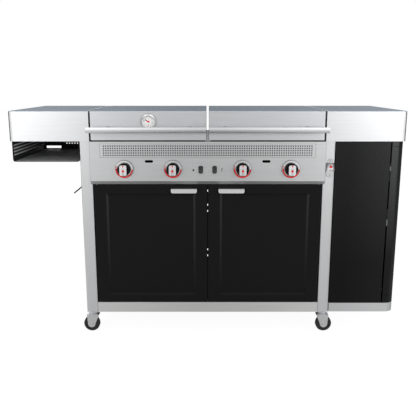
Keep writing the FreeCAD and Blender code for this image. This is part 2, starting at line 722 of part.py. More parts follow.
def hinge_ear(x):
    """Plate that reaches back from the rim to a lid pin."""
    foot = HINGE_Y - EAR_FOOT
    back = RIM_Y[1] - SHEET
    low = HINGE_Z - EAR_R
    points = [(foot, RIM_SHEET_TOP), (back, RIM_SHEET_TOP), (back, low), (HINGE_Y, low)]
    points += [(HINGE_Y, HINGE_Z + EAR_R), (foot, HINGE_Z + EAR_R)]
    eye = rod(EAR_R, V(x[0], HINGE_Y, HINGE_Z), V(x[1], HINGE_Y, HINGE_Z))
    bore_ends = [V(a, HINGE_Y, HINGE_Z) for a in x]
    return along_x(points, x).fuse(eye).cut(rod(HINGE_PIN_R + RUNNING_GAP, *bore_ends))


def firebox():
    """Two tubs under one rim, with the bridge, side upstands, hinge ears and tray runners."""
    edge = LID_HALF - RUNNING_GAP
    rim = block((-edge, edge), RIM_Y, (PANEL_TOP, RIM_SHEET_TOP))
    bridge = block((-BRIDGE_HALF, BRIDGE_HALF), RIM_Y, (RIM_SHEET_TOP, RIM_TOP))
    upstand = block((edge - UPSTAND_W, edge), RIM_Y, (RIM_SHEET_TOP, RIM_TOP))
    outer_tub = tub_body(0, RIM_SHEET_TOP)
    inner_tub = tub_body(SHEET, TOP_Z)
    runner_path = [(RUNNER_X, TUB_FLOOR_Z + TUB_FALL), (RUNNER_X, RUNNER_Z)]
    runner_path.append((RUNNER_X - RUNNER_LEDGE, RUNNER_Z))
    runner_y = (TRAY_FRONT_Y, TRAY_REAR_Y)
    runner = along_y(fold(runner_path), runner_y)
    inner_x = inset(TUB_X, SHEET)
    ledge_z = (GRATE_Z - SHEET, GRATE_Z)
    wall_y = inset(TUB_Y, SHEET)
    front_ledge = block(inner_x, (wall_y[0], wall_y[0] + LEDGE_W), ledge_z)
    rear_ledge = block(inner_x, (wall_y[1] - LEDGE_W, wall_y[1]), ledge_z)
    ears = [hinge_ear(x) for x in EAR_X]
    drain_x = (inner_x[0] + SHEET, inner_x[0] + SHEET + DRAIN_W)
    drain = block(drain_x, around(sum(TUB_Y) / 2, DRAIN_W), (TUB_FLOOR_Z, TUB_FLOOR_Z + TUB_FALL))
    half = [outer_tub.fuse(runner).cut(inner_tub), front_ledge, rear_ledge, upstand] + ears
    rim = rim.cut([inner_tub, mirrored(inner_tub)])
    whole = rim.fuse(half + [mirrored(piece) for piece in half] + [bridge])
    cuts = [drain, mirrored(drain)]
    for x in KNOB_X:
        hole_y = (TUB_Y[0] - SHEET, TUB_Y[0] + 2 * SHEET)
        cuts.append(rod(BURNER_R + SEAT_GAP, V(x, hole_y[0], KNOB_Z), V(x, hole_y[1], KNOB_Z)))
    return whole.removeSplitter().cut(cuts)


def grease_tray():
    """Tray hung on the runners by its side flanges, with a lip to pull at the back."""
    floor = TRAY_TOP - TRAY_DEPTH
    right = [(TRAY_FLANGE_X, TRAY_TOP), (TRAY_X, TRAY_TOP), (TRAY_X, floor)]
    path = right + [(-x, z) for x, z in right[::-1]]
    pan = along_y(fold(path), (TRAY_FRONT_Y, TRAY_REAR_Y))
    side = (-TRAY_X, TRAY_X)
    front = block(side, (TRAY_FRONT_Y, TRAY_FRONT_Y + SHEET), (floor, TRAY_TOP))
    back = block(side, (TRAY_REAR_Y - SHEET, TRAY_REAR_Y), (floor, TRAY_TOP))
    lip_y = (TRAY_REAR_Y - SHEET, TRAY_REAR_Y + TRAY_LIP)
    lip = block((-TRAY_LIP_HALF, TRAY_LIP_HALF), lip_y, (TRAY_TOP - SHEET, TRAY_TOP))
    return pan.fuse([front, back, lip]).removeSplitter()


def door():
    """Door pan with a sunk, bevelled panel in front and open behind."""
    y = (LEG_FRONT_Y, LEG_FRONT_Y + DOOR_T)
    sunk_x = inset(DOOR_X, DOOR_STILE)
    sunk_z = (DOOR_Z[0] + DOOR_LOW_FRAME, DOOR_Z[1] - DOOR_TOP_FRAME)
    front = loop(sunk_x, sunk_z, lambda a, b: V(a, y[0], b))
    floor_y = y[0] + DOOR_SINK
    floor = loop(inset(sunk_x, DOOR_BEVEL), inset(sunk_z, DOOR_BEVEL), lambda a, b: V(a, floor_y, b))
    sunk = Part.makeLoft([front, floor], True, True)
    backing = block(inset(sunk_x, -SHEET), (y[0], floor_y + SHEET), inset(sunk_z, -SHEET))
    hollow = block(inset(DOOR_X, SHEET), (y[0] + SHEET, y[1]), inset(DOOR_Z, SHEET)).cut(backing)
    pan = block(DOOR_X, y, DOOR_Z).cut(sunk).cut(hollow)
    return pan.cut(door_pin_holes((DOOR_Z[0] - SHEET, DOOR_Z[1] + SHEET)))


def door_pull():
    """Bent pull on a door: a flange on the face and a hood with round corners in front of the fingers."""
    y = LEG_FRONT_Y
    top = DOOR_Z[1] - PULL_DROP
    crease = (y - PULL_OUT, top - PULL_SLOPE_H)
    tip = (crease[0] - PULL_SHEET, top - PULL_H)
    x = DOOR_X[0] + PULL_INSET
    pull = along_x(fold([(y, top - PULL_H / 2), (y, top), crease, tip], PULL_SHEET), (x, x + PULL_W))
    through = V(0, tip[1] - crease[1], crease[0] - tip[0]).normalize()
    return rounded(pull, PULL_CORNER_R, through, lambda p: p.z < tip[1] + PULL_SHEET)


def lid():
    """Flat lid, open below, with a rounded front edge and bored for its pins."""
    x = (LID_GAP / 2, LID_HALF)
    outer = block(x, (FASCIA_Y, REAR_Y), (LID_Z, TOP_Z))
    front_top = lambda p: p.y < FASCIA_Y + LID_SHEET and p.z > TOP_Z - LID_SHEET
    outer = rounded(outer, LID_EDGE_R, X_AXIS, front_top)
    y = inset((FASCIA_Y, REAR_Y), LID_SHEET)
    hollow = block(inset(x, LID_SHEET), y, (LID_Z, TOP_Z - LID_SHEET))
    bore = rod(HINGE_PIN_R + RUNNING_GAP, V(x[0], HINGE_Y, HINGE_Z), V(x[1], HINGE_Y, HINGE_Z))
    return outer.cut(hollow).cut(bore)


def lid_handle():
    """Round bar with closed ends on two flanged posts."""
    y = FASCIA_Y - HANDLE_STANDOFF
    bar = rod(HANDLE_R, V(LID_GAP / 2, y, HANDLE_Z), V(LID_HALF + HANDLE_OVERHANG, y, HANDLE_Z))
    flange = -POST_FLANGE_H
    profile = [(0, 0), (POST_FLANGE_R, 0), (POST_FLANGE_R, flange / 2), (POST_R, flange)]
    profile += [(POST_R, -HANDLE_STANDOFF), (0, -HANDLE_STANDOFF)]
    posts = [turned(profile, V(x, FASCIA_Y, HANDLE_Z)).cut(bar) for x in POST_X]
    return [bar] + posts


def thermometer_case():
    """Cup of the thermometer with a sloped bezel and a spindle for the needle."""
    wall = SHEET
    rim = GAUGE_FACE_R + LENS_T
    back = -GAUGE_BACK
    profile = [(0, 0), (GAUGE_R, 0), (GAUGE_R, -GAUGE_DEPTH / 2), (rim + wall, -GAUGE_DEPTH)]
    profile += [(GAUGE_FACE_R, -GAUGE_DEPTH), (GAUGE_FACE_R, wall - GAUGE_DEPTH), (rim, wall - GAUGE_DEPTH)]
    tip = back - NEEDLE_RISE - NEEDLE_T - SEAT_GAP
    profile += [(rim, back), (SPINDLE_R, back), (SPINDLE_R, tip), (0, tip)]
    return turned(profile, V(GAUGE_X, FASCIA_Y, GAUGE_Z))


def thermometer_lens():
    """Glass disc behind the bezel lip."""
    y = GAUGE_Y + SHEET
    radius = GAUGE_FACE_R + LENS_T - RUNNING_GAP
    return rod(radius, V(GAUGE_X, y, GAUGE_Z), V(GAUGE_X, y + LENS_T, GAUGE_Z))


def thermometer_needle():
    """Tapered pointer with a round hub on the spindle."""
    y = FASCIA_Y - GAUGE_BACK - NEEDLE_RISE
    half = NEEDLE_W / 2
    outline = [V(-NEEDLE_TAIL, 0, half), V(-NEEDLE_TAIL, 0, -half), V(NEEDLE_L, 0, 0)]
    pointer = prism(outline, V(0, -NEEDLE_T, 0))
    hub_r = SPINDLE_R + NEEDLE_W / 2
    hub = rod(hub_r, V(), V(0, -NEEDLE_T, 0))
    bore = rod(SPINDLE_R + RUNNING_GAP, V(), V(0, -NEEDLE_T, 0))
    needle = pointer.fuse(hub).cut(bore)
    needle.rotate(V(), Y_AXIS, -NEEDLE_ANGLE)
    needle.translate(V(GAUGE_X, y, GAUGE_Z))
    return needle


def hinge_pins():
    """Pins of the lids, the front doors and the side door."""
    inner = rod(HINGE_PIN_R, V(LID_GAP / 2, HINGE_Y, HINGE_Z), V(EAR_X[0][1], HINGE_Y, HINGE_Z))
    head = LID_HALF + SEAT_GAP
    shank = rod(HINGE_PIN_R, V(EAR_X[1][0], HINGE_Y, HINGE_Z), V(head, HINGE_Y, HINGE_Z))
    cap = rod(HINGE_HEAD_R, V(head, HINGE_Y, HINGE_Z), V(head + HINGE_HEAD_H, HINGE_Y, HINGE_Z))
    outer = shank.fuse(cap)
    pins = [inner, outer, mirrored(inner), mirrored(outer)]
    low = (RAIL_TOP - DOOR_PIN_REACH / 2, DOOR_Z[0] + DOOR_PIN_REACH)
    high = (DOOR_Z[1] - DOOR_PIN_REACH, PANEL_LOW + DOOR_PIN_REACH / 2)
    for span in (low, high):
        for side in (-1, 1):
            place = V(side * DOOR_PIN_X, DOOR_PIN_Y, span[0])
            pins.append(Part.makeCylinder(DOOR_PIN_R, span[1] - span[0], place))
    for z in KNUCKLE_Z:
        place = V(CAB_HINGE_X, CAB_Y, z - KNUCKLE_H)
        pins.append(Part.makeCylinder(KNUCKLE_PIN_R, 2 * KNUCKLE_H, place))
    return pins


def shelf():
    """Work shelf: a closed top with deep skirts and a flange turned in below."""
    x = (SHELF_INNER_X, HALF_W)
    y = (FASCIA_Y, REAR_Y)
    outer = block(x, y, (SHELF_Z, TOP_Z))
    outer = rounded(outer, SHELF_CORNER_R, Z_AXIS, lambda p: p.x > x[1] - SHEET and p.y < y[0] + SHEET)
    front_top = lambda p: p.y < y[0] + SHEET and p.z > TOP_Z - SHEET
    outer = rounded(outer, LID_EDGE_R, X_AXIS, front_top)
    hollow = block(inset(x, SHEET), inset(y, SHEET), inset((SHELF_Z, TOP_Z), SHEET))
    hollow = rounded(hollow, SHELF_CORNER_R - SHEET, Z_AXIS, lambda p: p.x > x[1] - 2 * SHEET and p.y < 0)
    mouth_x = (LEG_OUTER_X + PANEL_FLANGE, HALF_W - SHELF_FLANGE)
    mouth = block(mouth_x, inset(y, SHELF_FLANGE), (SHELF_Z, SHELF_Z + SHEET))
    return outer.cut(hollow).cut(mouth)


def tool_bin():
    """Open-fronted bin under the left shelf, with beads in its outer wall and a slotted back."""
    x = (BIN_SIDE_INSET - HALF_W, -LEG_OUTER_X - BIN_LEG_GAP)
    y = (LEG_FRONT_Y, LEG_FRONT_Y + BIN_DEPTH)
    floor = BIN_FLOOR_Z
    path = [(x[0], SHELF_Z), (x[0], floor), (x[1], floor), (x[1], SHELF_Z)]
    trough = along_y(fold(path), y)
    low_outer = lambda p: p.z < floor + SHEET / 2
    low_inner = lambda p: floor + SHEET / 2 < p.z < floor + 2 * SHEET
    trough = rounded(trough, BIN_CORNER_R, Y_AXIS, low_outer)
    trough = rounded(trough, BIN_CORNER_R - SHEET, Y_AXIS, low_inner)
    inner_x = inset(x, SHEET)
    slot_x = x[0] + BIN_SLOT_INSET
    slot_z = floor + BIN_SLOT_RISE
    holes = [((slot_x, slot_x + BIN_SLOT_W), (slot_z, slot_z + BIN_SLOT_H))]
    for index in range(BIN_HOLES):
        hole_x = x[0] + BIN_HOLE_INSET + index * BIN_HOLE_PITCH
        holes.append((around(hole_x, BIN_HOLE), around(floor + BIN_HOLE_RISE, BIN_HOLE)))
    place = lambda a, b: V(a, y[1] - SHEET, b)
    wall_z = (floor + SHEET, SHELF_Z)
    back = pierced(inner_x, wall_z, holes, place, Y_AXIS * SHEET)
    back = rounded(back, BIN_CORNER_R - SHEET, Y_AXIS, low_inner)
    beads = []
    for index in range(BIN_RIBS):
        z = SHELF_Z - BIN_RIB_DROP - index * BIN_RIB_PITCH
        bead = [(inner_x[0], z - BIN_RIB), (inner_x[0] + BIN_RIB, z), (inner_x[0], z + BIN_RIB)]
        beads.append(along_y(bead, (y[0] + BIN_CORNER_R, y[1] - SHEET)))
    return trough.fuse([back] + beads)


def towel_bar():
    """Thin bar beside the left wall on two posts, with a free end for hooks and a shoulder behind it."""
    wall = -LEG_OUTER_X
    x = wall - BAR_OFFSET
    front = FASCIA_Y + BAR_FRONT_SETBACK
    shoulder = front + BAR_LENGTH - BAR_POST_INSETS[0] - 2 * BAR_POST_R
    bar = rod(BAR_R, V(x, front, BAR_Z), V(x, shoulder, BAR_Z))
    held = rod(BAR_R + BAR_STEP, V(x, shoulder, BAR_Z), V(x, front + BAR_LENGTH, BAR_Z))
    posts = []
    for gap in BAR_POST_INSETS:
        y = front + BAR_LENGTH - gap
        posts.append(rod(BAR_POST_R, V(x, y, BAR_Z), V(wall, y, BAR_Z)))
        posts.append(rod(BAR_BASE_R, V(wall - BAR_BASE_H, y, BAR_Z), V(wall, y, BAR_Z)))
    return bar.fuse([held] + posts)


def opener_bowl(radius, top):
    """Half-round tapered body on the front of the leg."""
    front = LEG_FRONT_Y - OPENER_T
    low = HOOD_Z[0]
    cone = Part.makeCone(radius, radius - HOOD_TAPER, top - low, V(OPENER_X, front, low))
    behind = block(around(OPENER_X, 2 * radius), (LEG_FRONT_Y, LEG_FRONT_Y + radius), (low, top))
    return cone.cut(behind)


def bottle_opener():
    """Plate with a round foot and a screw tab, and a roofed hood whose arched lip catches the cap."""
    y = (LEG_FRONT_Y - OPENER_T, LEG_FRONT_Y)
    discs = [rod(r, V(OPENER_X, y[0], z), V(OPENER_X, y[1], z)) for r, z in zip(OPENER_R, OPENER_Z)]
    neck = [(OPENER_X - OPENER_R[0], OPENER_Z[0]), (OPENER_X + OPENER_R[0], OPENER_Z[0])]
    neck += [(OPENER_X + OPENER_R[1], OPENER_Z[1]), (OPENER_X - OPENER_R[1], OPENER_Z[1])]
    plate = along_y(neck, y).fuse(discs)
    hood = opener_bowl(HOOD_R, HOOD_Z[1]).cut(opener_bowl(HOOD_R - HOOD_WALL, HOOD_Z[1] - HOOD_WALL))
    arch = rod(HOOD_ARCH_R, V(OPENER_X, y[0] - HOOD_R, OPENER_Z[0]), V(OPENER_X, y[0], OPENER_Z[0]))
    return plate.fuse(hood.cut(arch)).removeSplitter()


def knuckle(z, low, reach):
    """Half of a small barrel hinge in the gap, with a leaf towards one side."""
    base = z - KNUCKLE_H if low else z + SEAT_GAP
    height = KNUCKLE_H - SEAT_GAP
    barrel = Part.makeCylinder(KNUCKLE_R, height, V(CAB_HINGE_X, CAB_Y, base))
    limits = sorted((CAB_HINGE_X + math.copysign(KNUCKLE_PIN_R, reach), CAB_HINGE_X + reach))
    leaf = block(limits, (CAB_Y, CAB_Y + KNUCKLE_LEAF), (base, base + height))
    bore = Part.makeCylinder(KNUCKLE_PIN_R + RUNNING_GAP, height, V(CAB_HINGE_X, CAB_Y, base))
    return barrel.fuse(leaf).cut(bore)


def cabinet_front_panel():
    """Fixed front of the right cabinet with its hinge halves."""
    x = CAB_PANEL_X
    back = CAB_Y + CAB_FLANGE
    path = [(x[0], back), (x[0], CAB_Y), (x[1], CAB_Y), (x[1], back)]
    panel = along_z(fold(path), (RAIL_TOP, SHELF_Z))
    return panel.fuse([knuckle(z, True, -CAB_GAP / 2) for z in KNUCKLE_Z])


def cabinet_plan(x, y, z, radius):
    """Block with its front right corner rounded in plan."""
    corner = lambda p: p.x > x[1] - SHEET and p.y < y[0] + SHEET
    return rounded(block(x, y, z), radius, Z_AXIS, corner)


def cabinet_side_door():
    """Rounded side door: column, side skin, flanges at both edges and hinge halves."""
    x = (CAB_DOOR_X, HALF_W)
    y = (CAB_Y, BACK_Y + SHEET)
    skin = cabinet_plan(x, y, CAB_DOOR_Z, CAB_CORNER_R)
    skin = skin.cut(cabinet_plan(inset(x, SHEET), inset(y, SHEET), CAB_DOOR_Z, CAB_CORNER_R - SHEET))
    open_side = block((x[0], x[0] + SHEET), (y[0] + CAB_FLANGE, y[1]), CAB_DOOR_Z)
    open_back = block((x[0], x[1] - CAB_REAR_FLANGE), (y[1] - SHEET, y[1]), CAB_DOOR_Z)
    grooves = []
    for z in (CAB_DOOR_Z[0] + CAB_GROOVE_IN, CAB_DOOR_Z[1] - CAB_GROOVE_IN):
        span = around(z, CAB_GROOVE_W)
        kept = cabinet_plan(inset(x, CAB_GROOVE_D), inset(y, CAB_GROOVE_D), span, CAB_CORNER_R - CAB_GROOVE_D)
        grooves.append(block(x, y, span).cut(kept))
    skin = skin.cut([open_side, open_back] + grooves)
    return skin.fuse([knuckle(z, False, CAB_GAP / 2) for z in KNUCKLE_Z])


def cabinet_base():
    """Base of the right cabinet: a pan turned upside down, with a raised seat for the gas bottle."""
    x = (LEG_OUTER_X, HALF_W)
    y = (CAB_Y, BACK_Y)
    low = FOOT_Z + CAB_FOOT_LIFT
    whole = cabinet_plan(x, y, (low, RAIL_TOP), CAB_CORNER_R)
    under = (low, RAIL_TOP - SHEET)
    pan = whole.cut(cabinet_plan(inset(x, SHEET), inset(y, SHEET), under, CAB_CORNER_R - SHEET))
    seat = Part.makeCylinder(BOTTLE_SEAT_R, SHEET, V(sum(x) / 2, sum(y) / 2, RAIL_TOP))
    return pan.fuse(seat)


def cabinet_back_panel():
    """Rear wall of the right cabinet with a flange at each side."""
    x = (LEG_OUTER_X, HALF_W - CAB_REAR_FLANGE - CAB_BACK_GAP)
    front = BACK_Y - PANEL_FLANGE
    path = [(x[1], front), (x[1], BACK_Y), (x[0], BACK_Y), (x[0], front)]
    return along_z(fold(path), (RAIL_TOP, SHELF_Z))


def caster_fork(x, y, side):
    """Swivel race and stem, fork with rounded ends, and the axle with its nuts."""
    wheel_x = x + side * CASTER_TRAIL
    waist = RACE_R - RACE_WAIST
    radii = (RACE_R, waist, waist, RACE_R)
    race = [(0, FORK_TOP_Z), (RACE_R, FORK_TOP_Z)]
    race += [(r, FORK_TOP_Z + rise) for r, rise in zip(radii, RACE_STEPS)]
    race += [(RACE_R, FOOT_Z - SEAT_GAP)]
    stem_top = FOOT_Z + FOOT_PLATE - SHEET
    race += [(STEM_R, FOOT_Z - SEAT_GAP), (STEM_R, stem_top), (0, stem_top)]
    head = turned(race, V(x, y, 0), Z_AXIS)
    inner = WHEEL_W / 2 + FORK_GAP
    outer = inner + FORK_SHEET
    ends = (x - side * FORK_REACH[0], x + side * FORK_REACH[1])
    top = [V(end, 0, FORK_TOP_Z) for end in ends]
    low = [V(wheel_x + s * FORK_END_R, 0, WHEEL_R) for s in (side, -side)]
    bottom = V(wheel_x, 0, WHEEL_R - FORK_END_R)
    edges = [Part.makeLine(*top), Part.makeLine(top[1], low[0]), Part.Arc(low[0], bottom, low[1]).toShape()]
    edges.append(Part.makeLine(low[1], top[0]))
    cheek = Part.Face(Part.Wire(edges)).extrude(Y_AXIS * FORK_SHEET)
    cheek = cheek.cut(rod(AXLE_R + RUNNING_GAP, V(wheel_x, 0, WHEEL_R), V(wheel_x, FORK_SHEET, WHEEL_R)))
    cheeks = [cheek.translated(V(0, y + place, 0)) for place in (-outer, inner)]
    crown = block(sorted(ends), (y - outer, y + outer), (FORK_TOP_Z - FORK_SHEET, FORK_TOP_Z))
    fork = crown.fuse(cheeks + [head]).removeSplitter()
    axle = rod(AXLE_R, V(wheel_x, y - outer - NUT_H, WHEEL_R), V(wheel_x, y + outer + NUT_H, WHEEL_R))
    nuts = []
    for place in (y - outer - NUT_H, y + outer):
        nuts.append(rod(NUT_R, V(wheel_x, place, WHEEL_R), V(wheel_x, place + NUT_H, WHEEL_R)))
    return [fork, axle.fuse(nuts).removeSplitter()]


def caster_wheel(x, y, side):
    """Hub with its bore, and a tyre with rounded shoulders."""
    half = WHEEL_W / 2
    shoulder = half / 3
    rim = WHEEL_R - TYRE_DEPTH
    tyre = [(rim, -half), (WHEEL_R - shoulder, -half), (WHEEL_R, shoulder - half), (WHEEL_R, half - shoulder)]
    tyre += [(WHEEL_R - shoulder, half), (rim, half)]
    bore = AXLE_R + RUNNING_GAP
    boss = 2 * AXLE_R
    web = half / 2
    hub = [(bore, -half), (boss, -half), (boss + web, -web), (rim, -web)]
    hub += [(r, -a) for r, a in hub[::-1]]
    centre = V(x + side * CASTER_TRAIL, y, WHEEL_R)
    return [turned(tyre, centre), turned(hub, centre)]


def build():
    """Makes every node."""
    os.makedirs("parts", exist_ok=True)
    for depth, y in (("front", FRONT_LEG_Y), ("rear", REAR_LEG_Y)):
        for hand, side in (("left", -1), ("right", 1)):
            place = depth + "_" + hand
            save(place + "_leg", leg(side * LEG_X, y))
            save(place + "_caster_fork", *caster_fork(side * LEG_X, y, side))
            save(place + "_caster_wheel", *caster_wheel(side * LEG_X, y, side))
    save("front_bottom_rail", front_bottom_rail())
    save("bottom_shelf", bottom_shelf())
    save("right_side_panel", side_panel())
    save("left_side_panel", mirrored(side_panel()))
    save("back_panel", back_panel())
    save("control_panel", control_panel())
    save("vent_grille", vent_grille())
    save("indicator_lenses", *[indicator_lens(x) for x in (-LENS_X, LENS_X)])
    save("knob_bezels", *[knob_bezel(x) for x in KNOB_X])
    save("switch_housings", *[switch_housing(x) for x in (-ROCKER_X, ROCKER_X)])
    save("ignition_rocker", rocker(-ROCKER_X))
    save("light_rocker", rocker(ROCKER_X))
    for index, x in enumerate(KNOB_X, 1):
        save("knob_" + str(index), *knob(x))
        save("valve_stem_" + str(index), valve_stem(x))
    save("gas_valves", *[gas_valve(x) for x in KNOB_X])
    save("gas_manifold", gas_manifold())
    save("burners", *[burner(x) for x in KNOB_X])
    save("heat_plates", *[heat_plate(x) for x in KNOB_X])
    save("cooking_grates", *cooking_grates())
    save("firebox", firebox())
    save("grease_tray", grease_tray())
    save("right_door", door())
    save("left_door", mirrored(door()))
    save("right_door_handle", door_pull())
    save("left_door_handle", mirrored(door_pull()))
    save("right_lid", lid())
    save("left_lid", mirrored(lid()))
    save("right_lid_handle", *lid_handle())
    save("left_lid_handle", *[mirrored(piece) for piece in lid_handle()])
    save("thermometer_case", thermometer_case())
    save("thermometer_lens", thermometer_lens())
    save("thermometer_needle", thermometer_needle())
    save("hinge_pins", *hinge_pins())
    save("right_shelf", shelf())
    save("left_shelf", mirrored(shelf()))
    save("tool_bin", tool_bin())
    save("towel_bar", towel_bar())
    save("bottle_opener", bottle_opener())
    save("cabinet_front_panel", cabinet_front_panel())
    save("cabinet_side_door", cabinet_side_door())
    save("cabinet_base", cabinet_base())
    save("cabinet_back_panel", cabinet_back_panel())


build()
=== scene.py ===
# %% [markdown]
# # A rolling outdoor kitchen, dressed for its portrait
# The shapes of this gas grill cart come from a packed set of solids. This lesson gives them their
# finishes, adds the small things that solids leave out, and sets up the light and the camera.
# Everything is in metres: X runs to the right along the front, -Y faces the cook, Z is up.

import math

import bmesh
import bpy
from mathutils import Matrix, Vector


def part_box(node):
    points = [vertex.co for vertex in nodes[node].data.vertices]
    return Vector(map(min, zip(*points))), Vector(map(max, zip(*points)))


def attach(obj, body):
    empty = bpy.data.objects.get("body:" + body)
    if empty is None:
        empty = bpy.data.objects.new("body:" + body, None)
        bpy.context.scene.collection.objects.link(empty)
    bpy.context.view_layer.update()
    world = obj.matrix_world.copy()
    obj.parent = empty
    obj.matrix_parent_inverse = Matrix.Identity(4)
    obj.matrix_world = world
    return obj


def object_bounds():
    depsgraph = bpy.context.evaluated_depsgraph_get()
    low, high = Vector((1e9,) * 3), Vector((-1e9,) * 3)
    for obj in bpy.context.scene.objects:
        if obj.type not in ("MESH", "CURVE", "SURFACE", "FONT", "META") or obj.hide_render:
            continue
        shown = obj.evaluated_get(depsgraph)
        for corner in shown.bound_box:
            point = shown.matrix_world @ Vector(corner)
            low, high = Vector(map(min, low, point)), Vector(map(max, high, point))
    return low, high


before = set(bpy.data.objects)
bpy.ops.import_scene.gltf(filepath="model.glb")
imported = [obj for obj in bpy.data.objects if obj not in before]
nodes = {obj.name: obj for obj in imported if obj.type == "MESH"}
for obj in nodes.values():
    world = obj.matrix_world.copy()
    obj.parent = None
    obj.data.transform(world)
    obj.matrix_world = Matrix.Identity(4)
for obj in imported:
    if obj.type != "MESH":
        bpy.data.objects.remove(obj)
cad_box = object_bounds()
print("solids:", len(nodes), "box:", [tuple(round(v, 4) for v in corner) for corner in cad_box])

# %% [markdown]
# ## Places taken from the solids
# A screw or a printed mark must sit on its solid even when the solid changes. A place that is typed in
# would go stale, so places are read from the boxes of the solids where that can be done.

# %% Read the places
MM = 0.001
SIDES = (-1, 1)
FLOOR_Z = cad_box[0].z
TOP_Z = cad_box[1].z
END_X = cad_box[1].x
FASCIA_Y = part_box("left_lid")[0].y
panel_low, panel_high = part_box("control_panel")
PANEL_Y = panel_low.y


def front_centre(name):
    """Middle of a solid's box as seen from the front: x and z."""
    low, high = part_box(name)
    return (low.x + high.x) / 2, (low.z + high.z) / 2


dial_x, dial_z = front_centre("thermometer_case")
print("fascia at", round(FASCIA_Y, 4), "panel face at", round(PANEL_Y, 4))

# %% [markdown]
# ## How a finish is made
# A finish could be one flat colour, but no real surface is that even. So each one starts from the
# Principled shader, and a noise texture disturbs it. The noise reads Object coordinates, because then
# the pattern stays on its sheet when a lid swings. It has a scale for each axis, so it can be drawn out.

# %% Start a finish and its noise
NOISE_DETAIL = 3.0


def finish(name):
    """New material with its node tree and its shader."""
    material = bpy.data.materials.new(name)
    material.use_nodes = True
    tree = material.node_tree
    return material, tree, tree.nodes["Principled BSDF"]


def wire(tree, source, socket, target, name):
    """Joins an output to an input."""
    tree.links.new(source.outputs[socket], target.inputs[name])


def maths(tree, kind, operation):
    """Math or VectorMath node with its operation."""
    node = tree.nodes.new("ShaderNode" + kind)
    node.operation = operation
    return node


def object_noise(tree, scale):
    """Noise on Object coordinates with its own scale on each axis."""
    place = tree.nodes.new("ShaderNodeTexCoord")
    stretch = tree.nodes.new("ShaderNodeMapping")
    stretch.inputs["Scale"].default_value = scale
    noise = tree.nodes.new("ShaderNodeTexNoise")
    noise.inputs["Scale"].default_value = 1.0
    noise.inputs["Detail"].default_value = NOISE_DETAIL
    wire(tree, place, "Object", stretch, "Vector")
    wire(tree, stretch, "Vector", noise, "Vector")
    return noise


print("detail of the noise:", NOISE_DETAIL)

# %% [markdown]
# The noise acts on three things: it moves the colour between two tones, it moves the roughness, so that
# reflections break up, and it lifts a fine bump. With a helper for each, a sheet and a coat of paint are
# built from the same three steps.

# %% Let the noise act
RAMP_ENDS = (0.3, 0.7)


def tint(tree, noise, shader, dark, light):
    """Lets the noise move the base colour between two tones."""
    ramp = tree.nodes.new("ShaderNodeValToRGB")
    for stop, place, tone in zip(ramp.color_ramp.elements, RAMP_ENDS, (dark, light)):
        stop.position = place
        stop.color = (*tone, 1)
    wire(tree, noise, "Fac", ramp, "Fac")
    wire(tree, ramp, "Color", shader, "Base Color")


def spread(tree, noise, shader, low, high):
    """Lets the noise move the roughness."""
    remap = tree.nodes.new("ShaderNodeMapRange")
    remap.inputs["To Min"].default_value = low
    remap.inputs["To Max"].default_value = high
    wire(tree, noise, "Fac", remap, "Value")
    wire(tree, remap, "Result", shader, "Roughness")


def relief(tree, noise, shader, depth, strength):
    """Turns the noise into a fine bump."""
    bump = tree.nodes.new("ShaderNodeBump")
    bump.inputs["Distance"].default_value = depth
    bump.inputs["Strength"].default_value = strength
    wire(tree, noise, "Fac", bump, "Height")
    wire(tree, bump, "Normal", shader, "Normal")


def uneven(name, tone, grain, bump, rough, swing):
    """Finish whose colour, roughness and bump follow one noise; gives back it and its shader."""
    material, tree, shader = finish(name)
    noise = object_noise(tree, grain)
    dark, light = [[v * (1 + side * swing) for v in tone] for side in SIDES]
    tint(tree, noise, shader, dark, light)
    spread(tree, noise, shader, *rough)
    relief(tree, noise, shader, *bump)
    return material, shader


print("tones are reached at", RAMP_ENDS, "of the noise")

# %% [markdown]
# ## Brushed sheet
# Most of the cart is stainless sheet with a fine grain along its length. A picture of brushed steel
# could be laid on it, but it would blur close up. A noise that is drawn out along one axis gives the
# grain at any distance. Fronts are brushed lengthways, legs upwards and worktops from front to back.

# %% Make the finishes of the sheets
LENGTHWAYS = (6, 700, 700)
UPRIGHT = (700, 700, 6)
ACROSS = (700, 6, 700)
ALL_WAYS = (300, 300, 300)
GRAIN_BUMP = (0.02 * MM, 0.15)


def brushed(name, tone, grain=LENGTHWAYS, rough=(0.32, 0.5), swing=0.05, edge=1.0):
    """Brushed metal sheet of one tone; edge is the tone it takes at a flat glance."""
    material, shader = uneven(name, tone, grain, GRAIN_BUMP, rough, swing)
    shader.inputs["Metallic"].default_value = 1.0
    shader.inputs["Specular Tint"].default_value = (edge, edge, edge, 1)
    return material


# Also the legs' rounded edges, where it is a painted highlight.
fascia_and_sheen_steel = brushed("bright fascia sheet and painted sheen", (0.63, 0.638, 0.646))
lid_steel = brushed("lid sheet", (0.58, 0.59, 0.605))
# Tops in a darker, bluer steel: painted shade.
top_shade_steel = brushed("worktop sheet in painted shade", (0.35, 0.402, 0.463), ACROSS, swing=0.1, edge=0.35)
panel_steel = brushed("panel sheet", (0.56, 0.565, 0.57))
leg_steel = brushed("leg tube", (0.61, 0.615, 0.62), UPRIGHT)
tube_steel = brushed("handle tube", (0.76, 0.765, 0.775), rough=(0.14, 0.2), swing=0.02)
# Roses behind the handle posts, and painted shade on the sides of the knob bezels.
rose_and_shade_steel = brushed("rose steel and painted shade", (0.36, 0.365, 0.375), UPRIGHT)
# Rolled ends and the base's round end in a darker steel: painted shade. The lid tab uses it too.
end_shade_and_tab_steel = brushed("rolled end", (0.5, 0.505, 0.515), UPRIGHT)
rail_steel = brushed("bottom rail", (0.6, 0.6, 0.596), rough=(0.6, 0.75))
# Also painted shadow: under the panel's bend, round the knob bezels and under the dial's brow.
bevel_and_shadow_steel = brushed("panel bevel, seams and painted shadow", (0.43, 0.43, 0.435))
